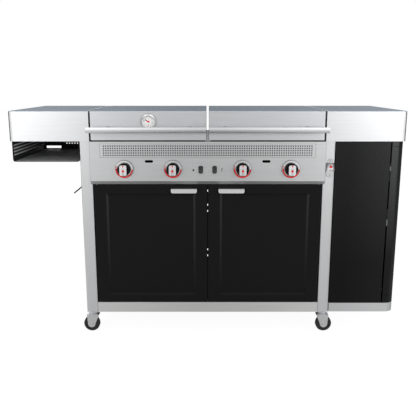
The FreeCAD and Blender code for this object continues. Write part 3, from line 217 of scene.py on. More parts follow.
# Painted shadow on the opener: its back, its underside and the lines round its plate.
opener_shadow_steel = brushed("painted shadow steel", (0.16, 0.16, 0.165), ALL_WAYS)
# Also painted shade on the upward faces of the thermometer's ring.
pull_and_shade_steel = brushed("pull sheet and painted shade", (0.58, 0.58, 0.585))
hood_steel = brushed("opener hood", (0.85, 0.855, 0.865), ALL_WAYS, rough=(0.5, 0.62))
inner_steel = brushed("firebox sheet", (0.16, 0.16, 0.165), rough=(0.4, 0.6), swing=0.12)
print("brushed finishes:", len(bpy.data.materials))

# %% [markdown]
# A sheet is darker where it turns away from the light: at the rolled ends of the fascia, and under the
# roof of the opener's hood. More lamps could show that, but they would change every other sheet too. So
# a helper scales the tone of one finish between two places along an axis.

# %% Shade sheets along an axis
opener_low, opener_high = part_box("bottle_opener")
ROLL_X = (END_X - 18 * MM, END_X - 11 * MM)
HOOD_Z = (opener_low.z + 33 * MM, opener_low.z + 61 * MM)


def set_range(node, values):
    """Sets the four limits of a Map Range node."""
    for label, value in zip(("From Min", "From Max", "To Min", "To Max"), values):
        node.inputs[label].default_value = value


def shade(material, axis, places, shares):
    """Scales the tone of a finish along an axis, between two distances from the origin."""
    tree = material.node_tree
    shader = tree.nodes["Principled BSDF"]
    tones = shader.inputs["Base Color"].links[0].from_socket
    place = tree.nodes.new("ShaderNodeTexCoord")
    parts = tree.nodes.new("ShaderNodeSeparateXYZ")
    distance = maths(tree, "Math", "ABSOLUTE")
    level = tree.nodes.new("ShaderNodeMapRange")
    set_range(level, (*places, *shares))
    scaled = maths(tree, "VectorMath", "SCALE")
    wire(tree, place, "Object", parts, "Vector")
    wire(tree, parts, axis, distance, 0)
    wire(tree, distance, 0, level, "Value")
    tree.links.new(tones, scaled.inputs[0])
    wire(tree, level, "Result", scaled, "Scale")
    wire(tree, scaled, "Vector", shader, "Base Color")


shade(fascia_and_sheen_steel, "X", ROLL_X, (1.0, 0.6))
shade(hood_steel, "Z", HOOD_Z, (1.0, 0.33))
print("fascia darkens from x =", round(ROLL_X[0], 3))

# %% [markdown]
# ## Black powder coat
# Doors, cabinet and tool bin are coated black. A glossy black would look like glass: powder coat is
# nearly dull, and what shows is its fine orange-peel bump. The side cabinet has a coarser, wrinkled
# coat, so it gets a larger noise and a deeper bump.

# %% Make the coats
PEEL = (0.1 * MM, 0.3)
WRINKLE = (0.6 * MM, 0.9)
RIPPLE = (0.3 * MM, 0.5)
CAST = (0.2 * MM, 0.5)
SATIN = (0.05 * MM, 0.3)


def coated(name, tone, grain, bump, rough=(0.45, 0.6), gloss=0.12, swing=0.15):
    """Painted surface with a bumpy coat."""
    material, shader = uneven(name, tone, (grain, grain, grain), bump, rough, swing)
    shader.inputs["Specular IOR Level"].default_value = gloss
    return material


door_black = coated("door coat", (0.0075, 0.0078, 0.0076), 900, PEEL, gloss=0.07)
# Lighter coat for the door bevels: painted highlight.
door_edge_highlight = coated("painted highlight on door bevel", (0.0318, 0.0325, 0.032), 900, PEEL, gloss=0.1)
barrel_grey = coated("hinge barrel coat", (0.016, 0.0163, 0.0163), 400, PEEL, gloss=0.2)
# Painted highlight: a glint on each hinge pin.
pin_glint = coated("painted glint on hinge pin", (0.15, 0.152, 0.152), 400, SATIN, gloss=0.3)
wrinkle_black = coated("wrinkled coat", (0.028, 0.0287, 0.0284), 220, WRINKLE)
# Lighter than the cabinet's coat: a painted highlight along the column's front.
column_highlight_black = coated("column coat", (0.06, 0.062, 0.062), 160, RIPPLE, (0.3, 0.36), 0.13)
# Where the column turns to the side: painted shade.
turn_shade_black = coated("painted shade on column turn", (0.0165, 0.017, 0.017), 160, RIPPLE, (0.5, 0.6), 0.1)
bin_black = coated("bin coat", (0.028, 0.029, 0.03), 600, PEEL)
# Paler coats: painted light on the bin's floor and a painted highlight on its beads.
bin_floor_light = coated("painted light on bin floor", (0.53, 0.535, 0.54), 600, PEEL)
bead_highlight = coated("painted highlight on bin beads", (0.75, 0.755, 0.76), 600, PEEL)
# Painted shadow where lamps can't be kept out; also the dark joints and burner ports.
shadow_black = coated("painted shadow and joint black", (0.006, 0.006, 0.006), 400, PEEL, gloss=0.03)
grate_iron = coated("grate enamel", (0.02, 0.02, 0.02), 400, CAST, (0.5, 0.7), 0.3)
print("coats made, materials now:", len(bpy.data.materials))

# %% [markdown]
# The tall black sheets catch light from above: they are greyer near the worktop and nearly black at the
# floor, and the cabinet's front also grows lighter towards its outer edge. A lamp overhead could do it,
# but it would bleach the worktops. So these coats are shaded along an axis, as the fascia was.

# %% Shade the coats
DOOR_Z = (0.2, 0.72)
CABINET_X = (0.62, 0.79)
CABINET_Z = (0.33, 0.85)
COLUMN_Z = (0.36, 0.85)
shade(door_edge_highlight, "Z", DOOR_Z, (0.18, 1.0))
shade(wrinkle_black, "X", CABINET_X, (0.38, 1.0))
shade(wrinkle_black, "Z", CABINET_Z, (0.22, 1.0))
shade(column_highlight_black, "Z", COLUMN_Z, (0.1, 1.0))
print("cabinet coat at full tone from z =", CABINET_Z[1])

# %% [markdown]
# ## Plastic, rubber, paint and ink
# Knobs, switches, tyres and printed marks are smoother than powder coat. The coat's helper still fits: a
# shallower bump and a smaller range of roughness make plastic or paint of it.

# %% Make the smooth coats
INK = (0.02 * MM, 0.1)
knob_black = coated("knob plastic", (0.003, 0.003, 0.003), 500, (0.05 * MM, 0.2), (0.22, 0.3), 0.2)
switch_grey = coated("switch plastic", (0.032, 0.032, 0.033), 500, SATIN, (0.4, 0.5), 0.4)
lens_dark = coated("smoked lens", (0.002, 0.002, 0.002), 300, INK, (0.1, 0.15), 0.06)
tyre_rubber = coated("tyre rubber", (0.018, 0.018, 0.018), 700, (0.15 * MM, 0.4), (0.5, 0.65), 0.3)
hub_plastic = coated("hub plastic", (0.05, 0.05, 0.052), 400, PEEL, (0.4, 0.5), 0.3)
signal_red = coated("red paint", (0.80, 0.009, 0.009), 500, INK, (0.35, 0.45), 0.1)
dial_white = coated("dial card", (0.96, 0.96, 0.955), 300, INK, (0.5, 0.6), 0.2, 0.02)
tick_grey = coated("tick ink", (0.3, 0.3, 0.306), 300, INK, (0.5, 0.6), 0.2)
dark_ink = coated("dark ink", (0.03, 0.03, 0.03), 300, INK, (0.5, 0.6), 0.2)
print("smooth coats made, materials now:", len(bpy.data.materials))

# %% [markdown]
# ## Bright metal and glass
# Bezels and caster forks are plated, the gas fittings are brass, and the thermometer has a glass. Plated
# parts are small and round, so their grain runs all ways. Solid glass would bend the dial behind it; the
# real pane is thin and flat, so the glass here is mostly clear and hardly bends light.

# %% Make the plated and clear finishes
PLATE_GRAIN = (150, 150, 150)
TURNED_GRAIN = (200, 600, 200)
# Also painted highlights along the worktops' inner edges.
bezel_and_glint_chrome = brushed("plated bezel", (0.92, 0.925, 0.93), ALL_WAYS, (0.2, 0.3), 0.03)
# Also a painted sheen on the flanks of the opener's hood.
gauge_ring_and_sheen = brushed("gauge ring and painted sheen", (0.8, 0.805, 0.81), ALL_WAYS, (0.42, 0.52), 0.03)
housing_satin = brushed("switch surround", (0.6, 0.605, 0.61), ALL_WAYS, (0.3, 0.4), 0.03)
grip_silver = brushed("grip silver", (0.88, 0.88, 0.89), UPRIGHT, (0.25, 0.4), 0.04)
grip_stripe = brushed("grip stripe", (0.62, 0.62, 0.63), UPRIGHT, (0.3, 0.45), 0.04)
fork_zinc = brushed("fork plate", (0.58, 0.582, 0.585), PLATE_GRAIN, (0.3, 0.45), 0.08)
race_steel = brushed("swivel race", (0.66, 0.67, 0.69), ALL_WAYS, (0.18, 0.26))
caster_zinc = brushed("zinc plate", (0.42, 0.425, 0.43), PLATE_GRAIN, (0.3, 0.45), 0.1)
screw_steel = brushed("screw head", (0.45, 0.45, 0.46), ALL_WAYS, (0.25, 0.4))
valve_brass = brushed("turned brass", (0.62, 0.44, 0.17), TURNED_GRAIN, (0.25, 0.4))
rail_alloy = brushed("manifold tube", (0.5, 0.5, 0.51), rough=(0.35, 0.5))
clear_glass, glass_tree, glass_shader = finish("gauge glass")
glass_noise = object_noise(glass_tree, (40, 40, 40))
tint(glass_tree, glass_noise, glass_shader, (0.97, 0.97, 0.97), (1, 1, 1))
spread(glass_tree, glass_noise, glass_shader, 0.0, 0.02)
glass_shader.inputs["Transmission Weight"].default_value = 1.0
glass_shader.inputs["IOR"].default_value = 1.1
glass_shader.inputs["Alpha"].default_value = 0.22
print("materials now:", len(bpy.data.materials))

# %% [markdown]
# ## Paint the solids
# On the real cart each part comes out of one shop with one finish: pressed, coated or plated. A solid
# keeps its shape here, and only the material on its faces is set. A table of finishes and names is
# easier to check than a call for each solid.


# %% Give every solid its finish
def named(start="", end=""):
    """Sorted names of the solids with this start and end."""
    return sorted(name for name in nodes if name.startswith(start) and name.endswith(end))


knobs = [name for name in named("knob_") if name[-1].isdigit()]
wheels = named(end="_caster_wheel")
COATS = [
    (fascia_and_sheen_steel, ["left_shelf", "right_shelf"]),
    (lid_steel, ["left_lid", "right_lid"]),
    (panel_steel, ["control_panel", "vent_grille", "cabinet_base", "bottle_opener"]),
    (rail_steel, ["front_bottom_rail"]),
    (leg_steel, named(end="_leg")),
    (tube_steel, ["left_lid_handle", "right_lid_handle"]),
    (pull_and_shade_steel, ["left_door_handle", "right_door_handle"]),
    (inner_steel, ["firebox", "burners", "heat_plates", "grease_tray"]),
    (caster_zinc, ["hinge_pins"] + named("valve_stem")),
    (door_black, ["left_door", "right_door", "back_panel", "bottom_shelf"] + named(end="_side_panel")),
    (wrinkle_black, ["cabinet_front_panel", "cabinet_back_panel"]),
    (column_highlight_black, ["cabinet_side_door"]),
    (bin_black, ["tool_bin", "towel_bar"]),
    (grate_iron, ["cooking_grates"]),
    (valve_brass, ["gas_valves"]),
    (rail_alloy, ["gas_manifold"]),
    (bezel_and_glint_chrome, ["knob_bezels"]),
    (gauge_ring_and_sheen, ["thermometer_case"]),
    (housing_satin, ["switch_housings"]),
    (clear_glass, ["thermometer_lens"]),
    (signal_red, ["thermometer_needle"]),
    (lens_dark, ["indicator_lenses"]),
    (switch_grey, ["ignition_rocker", "light_rocker"]),
    (knob_black, knobs),
    (fork_zinc, named(end="_caster_fork")),
    (tyre_rubber, wheels),
]
for material, names in COATS:
    for name in names:
        nodes[name].data.materials.clear()
        nodes[name].data.materials.append(material)
print("solids with a finish:", sum(len(names) for _, names in COATS), "of", len(nodes))

# %% [markdown]
# ## Second finishes on one solid
# Some solids show two finishes. Worktops and lid tops are painted darker and bluer than their fronts:
# painted shade, for they catch the light at a glance. Their grain also runs from front to back. The ends
# of the shelves are rolled and get painted shade. A solid could be cut in two, but a test on each of its
# faces is simpler. A normal's part near 1 looks along an axis, one near 0 stands across it.

# %% Pick out tops and rolled edges
TOP_SKIN = 5 * MM
SHELF_END = END_X - 12 * MM


def paint_some(name, material, test):
    """Adds a second material on the faces that pass a test."""
    data = nodes[name].data
    data.materials.append(material)
    place = len(data.materials) - 1
    chosen = [face for face in data.polygons if test(face)]
    for face in chosen:
        face.material_index = place
    print(name, "-", material.name, "on", len(chosen), "faces")


# Tops of the shelves and lids: painted shade.
for name in ("left_shelf", "right_shelf", "left_lid", "right_lid"):
    paint_some(name, top_shade_steel, lambda f: f.normal.z > 0.4 and f.center.z > TOP_Z - TOP_SKIN)
# Rolled ends of the shelves: painted shade.
for name in ("left_shelf", "right_shelf"):
    paint_some(name, end_shade_and_tab_steel, lambda f: abs(f.normal.x) > 0.03 and abs(f.center.x) > SHELF_END)
# Rounded front edges of the legs: painted highlight.
for name in ("front_left_leg", "front_right_leg"):
    paint_some(name, fascia_and_sheen_steel, lambda f: f.normal.y < -0.2 and abs(f.normal.x) > 0.1)
# Rounded right end of the base: painted shade.
paint_some("cabinet_base", end_shade_and_tab_steel, lambda f: f.normal.x > 0.6)

# %% [markdown]
# A door is pressed, so a bevel runs round its sunk panel; the bevel gets a lighter coat, a painted
# highlight for the light it catches. The control panel is bent under at its lower edge, and the bend gets
# painted shade. What lies behind the panel and its vent strip is dark, and a lamp can't be kept out of
# there, so those faces get painted shadow instead.

# %% Pick out bevels and dark places
FRONT_WALL = 0.15
# Door bevels: painted highlight.
for name in ("left_door", "right_door"):
    paint_some(name, door_edge_highlight, lambda f: -0.97 < f.normal.y < -0.2 and f.normal.z > -0.2)
# Front wall of the firebox: painted shadow.
paint_some("firebox", shadow_black, lambda f: f.normal.y < -0.5 and f.center.y < FASCIA_Y + FRONT_WALL)
# The panel's bend under its lower edge: painted shade.
paint_some("control_panel", bevel_and_shadow_steel, lambda f: f.normal.z < -0.3 and f.normal.y < -0.3)
# Inner faces of the panel and the grille's hole walls: painted shadow.
paint_some("control_panel", shadow_black, lambda f: f.normal.y > 0.5 or f.normal.z > 0.9)
paint_some("vent_grille", shadow_black, lambda f: f.normal.y > -0.5)

# %% [markdown]
# The tool bin is a folded tray with beads pressed into its left wall, and light falls on its floor and
# on the beads. A small lamp would shine on the leg as well, so these faces get a paler coat instead:
# painted light on the floor and a painted highlight on the beads.

# %% Pick out the bin's floor and beads
bin_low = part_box("tool_bin")[0]
BEAD_X = (bin_low.x + 1.6 * MM, bin_low.x + 5 * MM)
BEAD_Z = bin_low.z + 18 * MM
BIN_FLOOR_Z = bin_low.z + 5 * MM
# Bin floor: painted light; beads: painted highlight.
paint_some("tool_bin", bin_floor_light, lambda f: f.normal.z > 0.9 and f.center.z < BIN_FLOOR_Z)
paint_some("tool_bin", bead_highlight,
           lambda f: BEAD_X[0] < f.center.x < BEAD_X[1] and abs(f.normal.z) > 0.2 and f.center.z > BEAD_Z)

# %% [markdown]
# The opener is a pressed hood on a flat plate. The hood is painted brighter than the plate, as painted
# light, and its flanks get a painted sheen in the finish of the thermometer's ring. Faces turned to the
# back and the hood's underside get painted shade. Lid handles are tubes with black caps on dull posts.
# Each is one solid, so the depth and the direction of a face tell its parts apart.

# %% Pick out the opener and the handles
HOOD_Y = opener_high.y - 3 * MM
POST_Y = FASCIA_Y - 4.5 * MM
# Hood: painted light that fades to painted shade under its roof.
paint_some("bottle_opener", hood_steel, lambda f: f.center.y < HOOD_Y)
# Flanks of the hood: painted sheen.
paint_some("bottle_opener", gauge_ring_and_sheen, lambda f: abs(f.normal.x) > 0.8 and f.center.y < HOOD_Y)
# Faces turned back and the hood's underside: painted shade.
paint_some("bottle_opener", opener_shadow_steel, lambda f: f.normal.y > 0.1 or f.normal.z < -0.5)
for name in ("left_lid_handle", "right_lid_handle"):
    paint_some(name, knob_black, lambda f: abs(f.normal.x) > 0.9)
    paint_some(name, bevel_and_shadow_steel, lambda f: f.center.y > POST_Y)

# %% [markdown]
# The thermometer is a cup with a sloped ring, a white card at its bottom and a red cap on its spindle.
# A disc for the card would have to be fitted to the cup, so the faces at the card's depth are painted
# instead. The ring's upward faces get painted shade in the duller steel of the door pulls. The knob
# bezels get painted shade on their sides.

# %% Pick out the card and the bezels
CARD_Y = FASCIA_Y - 2.5 * MM
CARD_REACH = 0.2 * MM
CAP_Y = CARD_Y - 1 * MM
CAP_R = 2 * MM
BEZEL_SIDE_Y = PANEL_Y - 8 * MM
paint_some("thermometer_case", dial_white,
           lambda f: f.normal.y < -0.9 and abs(f.center.y - CARD_Y) < CARD_REACH)
# Upward faces of the ring: painted shade.
paint_some("thermometer_case", pull_and_shade_steel,
           lambda f: f.normal.y > -0.95 and f.normal.z > 2 * abs(f.normal.x) + 0.2)
paint_some("thermometer_case", signal_red,
           lambda f: math.hypot(f.center.x - dial_x, f.center.z - dial_z) < CAP_R and f.center.y < CAP_Y)
# Sides of the bezels: painted shade.
paint_some("knob_bezels", rose_and_shade_steel, lambda f: f.normal.y > -0.95 and f.center.y > BEZEL_SIDE_Y)

# %% [markdown]
# The side door of the gas cabinet is a sheet bent round a column. Its coat is lighter than the cabinet's,
# a painted highlight along its front, and where it turns to the side it gets painted shade. Its hinge
# barrels stand in the gap beside it, half of them on the door and half on the cabinet's front, so both
# solids are tested for faces that lie near the hinge line.

# %% Pick out the column and its hinge
column_low, column_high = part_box("cabinet_side_door")
BARREL_X = 0.795
BARREL_R = 3 * MM
BARREL_Y = column_low.y + 2 * MM
# Turned side of the column: painted shade.
paint_some("cabinet_side_door", turn_shade_black, lambda f: f.normal.x > 0.35)
for name in ("cabinet_side_door", "cabinet_front_panel"):
    paint_some(name, barrel_grey, lambda f: f.center.y < BARREL_Y and abs(f.center.x - BARREL_X) < BARREL_R)

# %% [markdown]
# A knob is black with a silver face on its grip, and a caster is a rubber tyre on a plastic hub. The
# grip's face is what looks forward in front of the skirt. The hub lies within the tyre's inner radius,
# the swivel race above the fork, and the axle's nuts at the fork's two sides.

# %% Pick out grips and hubs
SKIRT_H = 14.1 * MM
HUB_R = 25.7 * MM
RACE_LIFT = 8.8 * MM
NUT_REACH = 0.1 * MM
for name in knobs:
    grip_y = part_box(name)[1].y - SKIRT_H
    # Only the grip's front turns silver; its sides keep the knob's black as painted shade.
    paint_some(name, grip_silver, lambda f: f.normal.y < -0.7 and f.center.y < grip_y)
for name in wheels:
    axle_x, axle_z = front_centre(name)
    paint_some(name, hub_plastic, lambda f: math.hypot(f.center.x - axle_x, f.center.z - axle_z) < HUB_R)
    race_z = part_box(name)[1].z + RACE_LIFT
    fork = name.replace("wheel", "fork")
    nut_faces = [corner.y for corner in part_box(fork)]
    paint_some(fork, race_steel, lambda f: f.center.z > race_z)
    paint_some(fork, screw_steel, lambda f: min(abs(f.center.y - y) for y in nut_faces) < NUT_REACH)

# %% [markdown]
# ## Printed marks
# Rings, ticks and signs on the real front are printed or inlaid. A picture on the panel would be only
# as sharp as its pixels. So each is a wafer that stands a little proud of its face: an outline in the
# plane of the front, pushed out towards the cook.

# %% Make wafers
WAFER = 0.25 * MM


def put(name, data):
    """New object in the scene."""
    thing = bpy.data.objects.new(name, data)
    bpy.context.scene.collection.objects.link(thing)
    return thing


def wafer(name, outlines, place, material, body, flat=False, thick=WAFER):
    """Closed outlines of (x, z) points on a face at Y = place, or of (x, y) points at Z = place."""
    shape = bmesh.new()
    for outline in outlines:
        if flat:
            sides = [[(a, b, level) for a, b in outline] for level in (place, place + thick)]
        else:
            sides = [[(a, level, b) for a, b in outline] for level in (place, place - thick)]
        back, front = [[shape.verts.new(point) for point in side] for side in sides]
        shape.faces.new(back)
        shape.faces.new(front)
        for i in range(len(outline)):
            j = (i + 1) % len(outline)
            shape.faces.new((back[i], back[j], front[j], front[i]))
    bmesh.ops.recalc_face_normals(shape, faces=shape.faces)
    mesh = bpy.data.meshes.new(name)
    shape.to_mesh(mesh)
    shape.free()
    mesh.materials.append(material)
    mark = put(name, mesh)
    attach(mark, body)


print("a wafer is", WAFER / MM, "mm thick")

# %% [markdown]
# Almost every mark is a bar, a disc or part of a ring, so three helpers make these outlines from their
# sizes. The ring may taper, as the heat bands of the knobs do.


# %% Draw the outlines of marks
def box_outline(x, z, width, height):
    """Rectangle about a centre."""
    a, b = width / 2, height / 2
    return [(x - a, z - b), (x + a, z - b), (x + a, z + b), (x - a, z + b)]


def round_outline(x, z, radius, count=20):
    """Polygon that stands for a circle."""
    angles = [2 * math.pi * i / count for i in range(count)]
    return [(x + radius * math.cos(t), z + radius * math.sin(t)) for t in angles]


def crescent(x, z, outer, start, stop, thick, thin, count=40):
    """Arc that tapers from one end to the other; angles in degrees, counter-clockwise from the right."""
    rim, inner = [], []
    for i in range(count + 1):
        angle = math.radians(start + (stop - start) * i / count)
        depth = thick + (thin - thick) * i / count
        rim.append((x + outer * math.cos(angle), z + outer * math.sin(angle)))
        inner.append((x + (outer - depth) * math.cos(angle), z + (outer - depth) * math.sin(angle)))
    return rim + inner[::-1]


print("points of a disc:", len(round_outline(0, 0, 1)))

# %% [markdown]
# Each burner knob turns inside a plated bezel. A red band on the bezel shows the heat, a ring of painted
# shadow lies round it, and the grip carries a stripe, a red pointer and a red spot. The marks on the bezel
# ride on the cart, and the marks on the grip ride on the knob, so the grip's marks turn and the band stays.

# %% Mark the knobs
HEAT_R = 37.3 * MM
SHADE_RING_R = 41.5 * MM
SHADE_RING_W = 2.4 * MM
STRIPE = (11 * MM, 30 * MM)
POINTER = (5 * MM, 7 * MM)
SPOT_R = 5 * MM
bezel_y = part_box("knob_bezels")[0].y
for name in knobs:
    x, z = front_centre(name)
    grip_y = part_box(name)[0].y
    band = crescent(x, z, HEAT_R, 172, 360, 5.7 * MM, 5.2 * MM)
    dash = crescent(x, z, HEAT_R, 158, 167, 4.5 * MM, 5 * MM, 6)
    wafer(name + "_heat_mark", [band, dash], bezel_y, signal_red, "cart")
    # Round each bezel: a ring of painted shadow.
    shade_ring = crescent(x, z, SHADE_RING_R, -20, 200, SHADE_RING_W, SHADE_RING_W)
    wafer(name + "_shade_ring", [shade_ring], PANEL_Y, bevel_and_shadow_steel, "cart")
    stripe = box_outline(x, z - 6 * MM, *STRIPE)
    wafer(name + "_stripe", [stripe], grip_y, grip_stripe, name)
    pointer = box_outline(x, z + 17.5 * MM, *POINTER)
    wafer(name + "_pointer", [pointer], grip_y, signal_red, name)
    spot = round_outline(x, z - 3 * MM, SPOT_R)
    wafer(name + "_spot", [spot], grip_y - WAFER, signal_red, name)
print("knobs with marks:", len(knobs))

# %% [markdown]
# Beside each rocker a small sign tells what it does: a spark triangle on the left, two dots for the
# light on the right. They stand at the rockers' height, which is read from one of the rockers.

# %% Print the small signs
SIGN_X = 62 * MM
SIGN_Z = front_centre("ignition_rocker")[1]
SIGN_DOT_R = 2.6 * MM
SIGN_STEP = 4 * MM
SPARK = ((-5, -6), (5, -6), (0, 6))
spark = [(-SIGN_X + a * MM, SIGN_Z + b * MM) for a, b in SPARK]
wafer("spark_sign", [spark], PANEL_Y, dark_ink, "cart")
dots = [round_outline(SIGN_X, SIGN_Z + side * SIGN_STEP, SIGN_DOT_R) for side in SIDES]
wafer("light_sign", dots, PANEL_Y, dark_ink, "cart")
print("signs at height", round(SIGN_Z, 4))

# %% [markdown]
# The thermometer stands on a dull rim, its ring has a brow of painted shadow, and its card has a dot below
# the needle. The needle is a thin red arrow with a dark tip. Its paint is a fork round the spindle, so that
# it lies flat on the arrow, and it rides on the needle and turns with it.

# %% Print the dial
NEEDLE_TURN = math.radians(150)
NEEDLE_TIP = ((8, -1.5), (16, -1.5), (16, 1.5), (8, 1.5))
NEEDLE_PAINT = ((-5, -2.3), (8, -2.3), (8, 2.3), (-5, 2.3), (-5, 1.7), (1.7, 1.7), (1.7, -1.7), (-5, -1.7))


def on_needle(along, across):
    """Place on the dial of a point in millimetres along and across the needle."""
    x = along * math.cos(NEEDLE_TURN) - across * math.sin(NEEDLE_TURN)
    z = along * math.sin(NEEDLE_TURN) + across * math.cos(NEEDLE_TURN)
    return dial_x + x * MM, dial_z + z * MM


dot = round_outline(dial_x, dial_z - 14 * MM, 2.6 * MM)
wafer("dial_dot", [dot], CARD_Y, tick_grey, "left_lid")
rim = crescent(dial_x, dial_z, 36.5 * MM, 0, 359.5, 3.4 * MM, 3.4 * MM, 72)
wafer("dial_rim", [rim], FASCIA_Y, bevel_and_shadow_steel, "left_lid")
needle_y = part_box("thermometer_needle")[0].y
for label, corners, ink in (("paint", NEEDLE_PAINT, signal_red), ("tip", NEEDLE_TIP, dark_ink)):
    plate = [on_needle(along, across) for along, across in corners]
    wafer("needle_" + label, [plate], needle_y, ink, "thermometer_needle")
# Below the top of the dial's ring: a brow of painted shadow.
brow_shadow = crescent(dial_x, dial_z, 26 * MM, 20, 160, 2.8 * MM, 2.8 * MM)
wafer("dial_brow_shadow", [brow_shadow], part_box("thermometer_case")[0].y, bevel_and_shadow_steel, "left_lid")
print("needle lies", round((CARD_Y - needle_y) / MM, 2), "mm in front of the card")

# %% [markdown]
# Where two sheets meet, a thin line shows, dull beside the panel and round the vent strip. On the
# worktops beside the lids a bright line along the edge is a painted highlight. The gaps are too narrow
# to show from here, so wafers draw the lines.

# %% Draw the lines between sheets
LINE = 1.6 * MM
LAP = 4 * MM
PANEL_INSET = 0.998
GLINT_LINE = 4.4 * MM
vent_low, vent_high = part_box("vent_grille")
side_z = (panel_low.z + panel_high.z) / 2 + 4 * MM
side_tall = panel_high.z - panel_low.z - 12 * MM
vent_x, vent_z = vent_high.x - LAP, (vent_low.z + vent_high.z) / 2
vent_wide, vent_tall = 2 * (vent_x + LINE), vent_high.z - vent_low.z - 2 * LAP
seams = [box_outline(side * PANEL_INSET * panel_high.x, side_z, LINE, side_tall) for side in SIDES]
seams += [box_outline(side * (vent_x + LINE / 2), vent_z, LINE, vent_tall) for side in SIDES]
seams += [box_outline(0, vent_z + side * (vent_tall + LINE) / 2, vent_wide, LINE) for side in SIDES]
wafer("panel_lines", seams, PANEL_Y, bevel_and_shadow_steel, "cart")
shelf_low, shelf_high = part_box("right_shelf")
shelf_y = (shelf_low.y + shelf_high.y) / 2
shelf_deep = shelf_high.y - shelf_low.y - 12 * MM
glint_x = shelf_low.x + 2.5 * MM
# Bright lines on the worktops: painted highlights.
edges = [box_outline(side * glint_x, shelf_y, GLINT_LINE, shelf_deep) for side in SIDES]
wafer("worktop_glints", edges, TOP_Z, bezel_and_glint_chrome, "cart", flat=True)
print("lines on the panel:", len(seams), "on the worktops:", len(edges))

# %% [markdown]
# A small rose lies behind each handle post, where it is screwed through the lid. The opener's plate
# casts a dark line round its two round ends and beside its hood. Both are flat, so wafers serve again.

# %% Draw roses and the opener's lines
ROSE_R = 14 * MM
INNER_POST, OUTER_POST = 70 * MM, 86.6 * MM
for side in ("left", "right"):
    low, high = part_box(side + "_lid_handle")
    inner, outer = sorted((low.x, high.x), key=abs)
    posts = [math.copysign(abs(inner) + INNER_POST, outer), math.copysign(abs(outer) - OUTER_POST, outer)]
    roses = [round_outline(x, (low.z + high.z) / 2, ROSE_R, 28) for x in posts]
    wafer(side + "_lid_roses", roses, FASCIA_Y, rose_and_shade_steel, side + "_lid")
opener_x = front_centre("bottle_opener")[0]
tab_z, foot_z = opener_high.z - 11 * MM, opener_low.z + 17 * MM
shadows = [crescent(opener_x, tab_z, 12.2 * MM, 10, 170, 1.3 * MM, 1.3 * MM)]
shadows.append(crescent(opener_x, foot_z, 18.4 * MM, 190, 350, 1.5 * MM, 1.5 * MM))
shadows += [box_outline(opener_x + side * 19 * MM, foot_z + 5 * MM, 4 * MM, 8 * MM) for side in SIDES]
wafer("opener_lines", shadows, opener_high.y, opener_shadow_steel, "cart")
print("opener at x =", round(opener_x, 4))

# %% [markdown]
# The round column of the side door is a bent sheet with a cap pushed in at each end, so a joint line
# runs round it above the base and below the worktop. A line that follows the bend can't be drawn in the
# plane of the front, so this wafer lies flat and is made taller.

# %% Draw the cap joints
COLUMN_R = 42 * MM
SHEET_BACK = 2.75 * MM
JOINT_H = 1.8 * MM
BEND_STEPS = 10
bend_x, bend_y = column_high.x - COLUMN_R, column_low.y + SHEET_BACK + COLUMN_R
bend_angles = [math.radians(90 * i / BEND_STEPS) for i in range(BEND_STEPS + 1)]


def column_line(reach):
    """Points round the front of the column at a distance from its middle."""
    bend = [(bend_x + reach * math.sin(t), bend_y - reach * math.cos(t)) for t in bend_angles]
    return [(column_low.x + 12 * MM, bend_y - reach)] + bend + [(bend_x + reach, column_high.y - 60 * MM)]


joint = column_line(COLUMN_R + WAFER) + column_line(COLUMN_R - WAFER)[::-1]
for label, level in (("upper", column_high.z - 22 * MM), ("lower", column_low.z + 33 * MM)):
    wafer(label + "_cap_joint", [joint], level, shadow_black, "cabinet_side_door",
          True, JOINT_H)
print("column from", round(column_low.z, 4), "to", round(column_high.z, 4))

# %% [markdown]
# At each hinge of the column a small painted highlight stands for a glint on the pin. It belongs to the
# half of the hinge that it sits on: the upper one to the door, the lower one to the cart. Between the
# two lids a tab stands up from the rim of the firebox. Both are small flat shapes, so they are wafers.

# %% Draw the pin glints and the tab
PIN_W, PIN_DEEP = 4.6 * MM, 1.2 * MM
PINS = (("upper", "cabinet_side_door", 117 * MM, 18 * MM), ("lower", "cart", 358 * MM, 28 * MM))
TAB = ((-12, 0), (12, 0), (12, 4), (4.4, 4), (4.4, 46), (-4.4, 46), (-4.4, 4), (-12, 4))
for label, body, drop, tall in PINS:
    # Glints on the hinge pins: painted highlights.
    glint = box_outline(BARREL_X, column_high.z - drop, PIN_W, tall)
    wafer(label + "_pin_glint", [glint], column_low.y + PIN_DEEP, pin_glint, body,
          thick=PIN_DEEP + WAFER)
tab = [(a * MM, panel_high.z + b * MM) for a, b in TAB]
wafer("lid_tab", [tab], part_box("firebox")[0].y, end_shade_and_tab_steel, "cart")
print("pin glints:", len(PINS), "tab foot at z =", round(panel_high.z, 4))

# %% [markdown]
# ## Rows of small things
# Screw heads, burner ports and dial ticks repeat. A loop could copy a mesh many times, but Geometry
# Nodes keep one recipe with named sizes. Two helpers open and close a tree. It ends in real faces with a
# finish, because other programs don't read instances.


# %% Open and close a tree
def new_tree(name, wanted):
    """Geometry tree with named inputs; gives back the tree, its ends and the inputs' identifiers."""
    tree = bpy.data.node_groups.new(name, "GeometryNodeTree")
    keys = {}
    for label, kind in wanted:
        socket = tree.interface.new_socket(label, in_out="INPUT", socket_type="NodeSocket" + kind)
        keys[label] = socket.identifier
    tree.interface.new_socket("Geometry", in_out="OUTPUT", socket_type="NodeSocketGeometry")
    return tree, tree.nodes.new("NodeGroupInput"), tree.nodes.new("NodeGroupOutput"), keys


def close_tree(tree, start, end, instances):
    """Makes instances real, gives them their finish and sends them out; counts the nodes."""
    real = tree.nodes.new("GeometryNodeRealizeInstances")
    coat = tree.nodes.new("GeometryNodeSetMaterial")
    wire(tree, instances, 0, real, "Geometry")
    wire(tree, real, "Geometry", coat, "Geometry")
    wire(tree, start, "Finish", coat, "Material")
    wire(tree, coat, "Geometry", end, "Geometry")
    return len(tree.nodes)


print("trees so far:", len(bpy.data.node_groups))

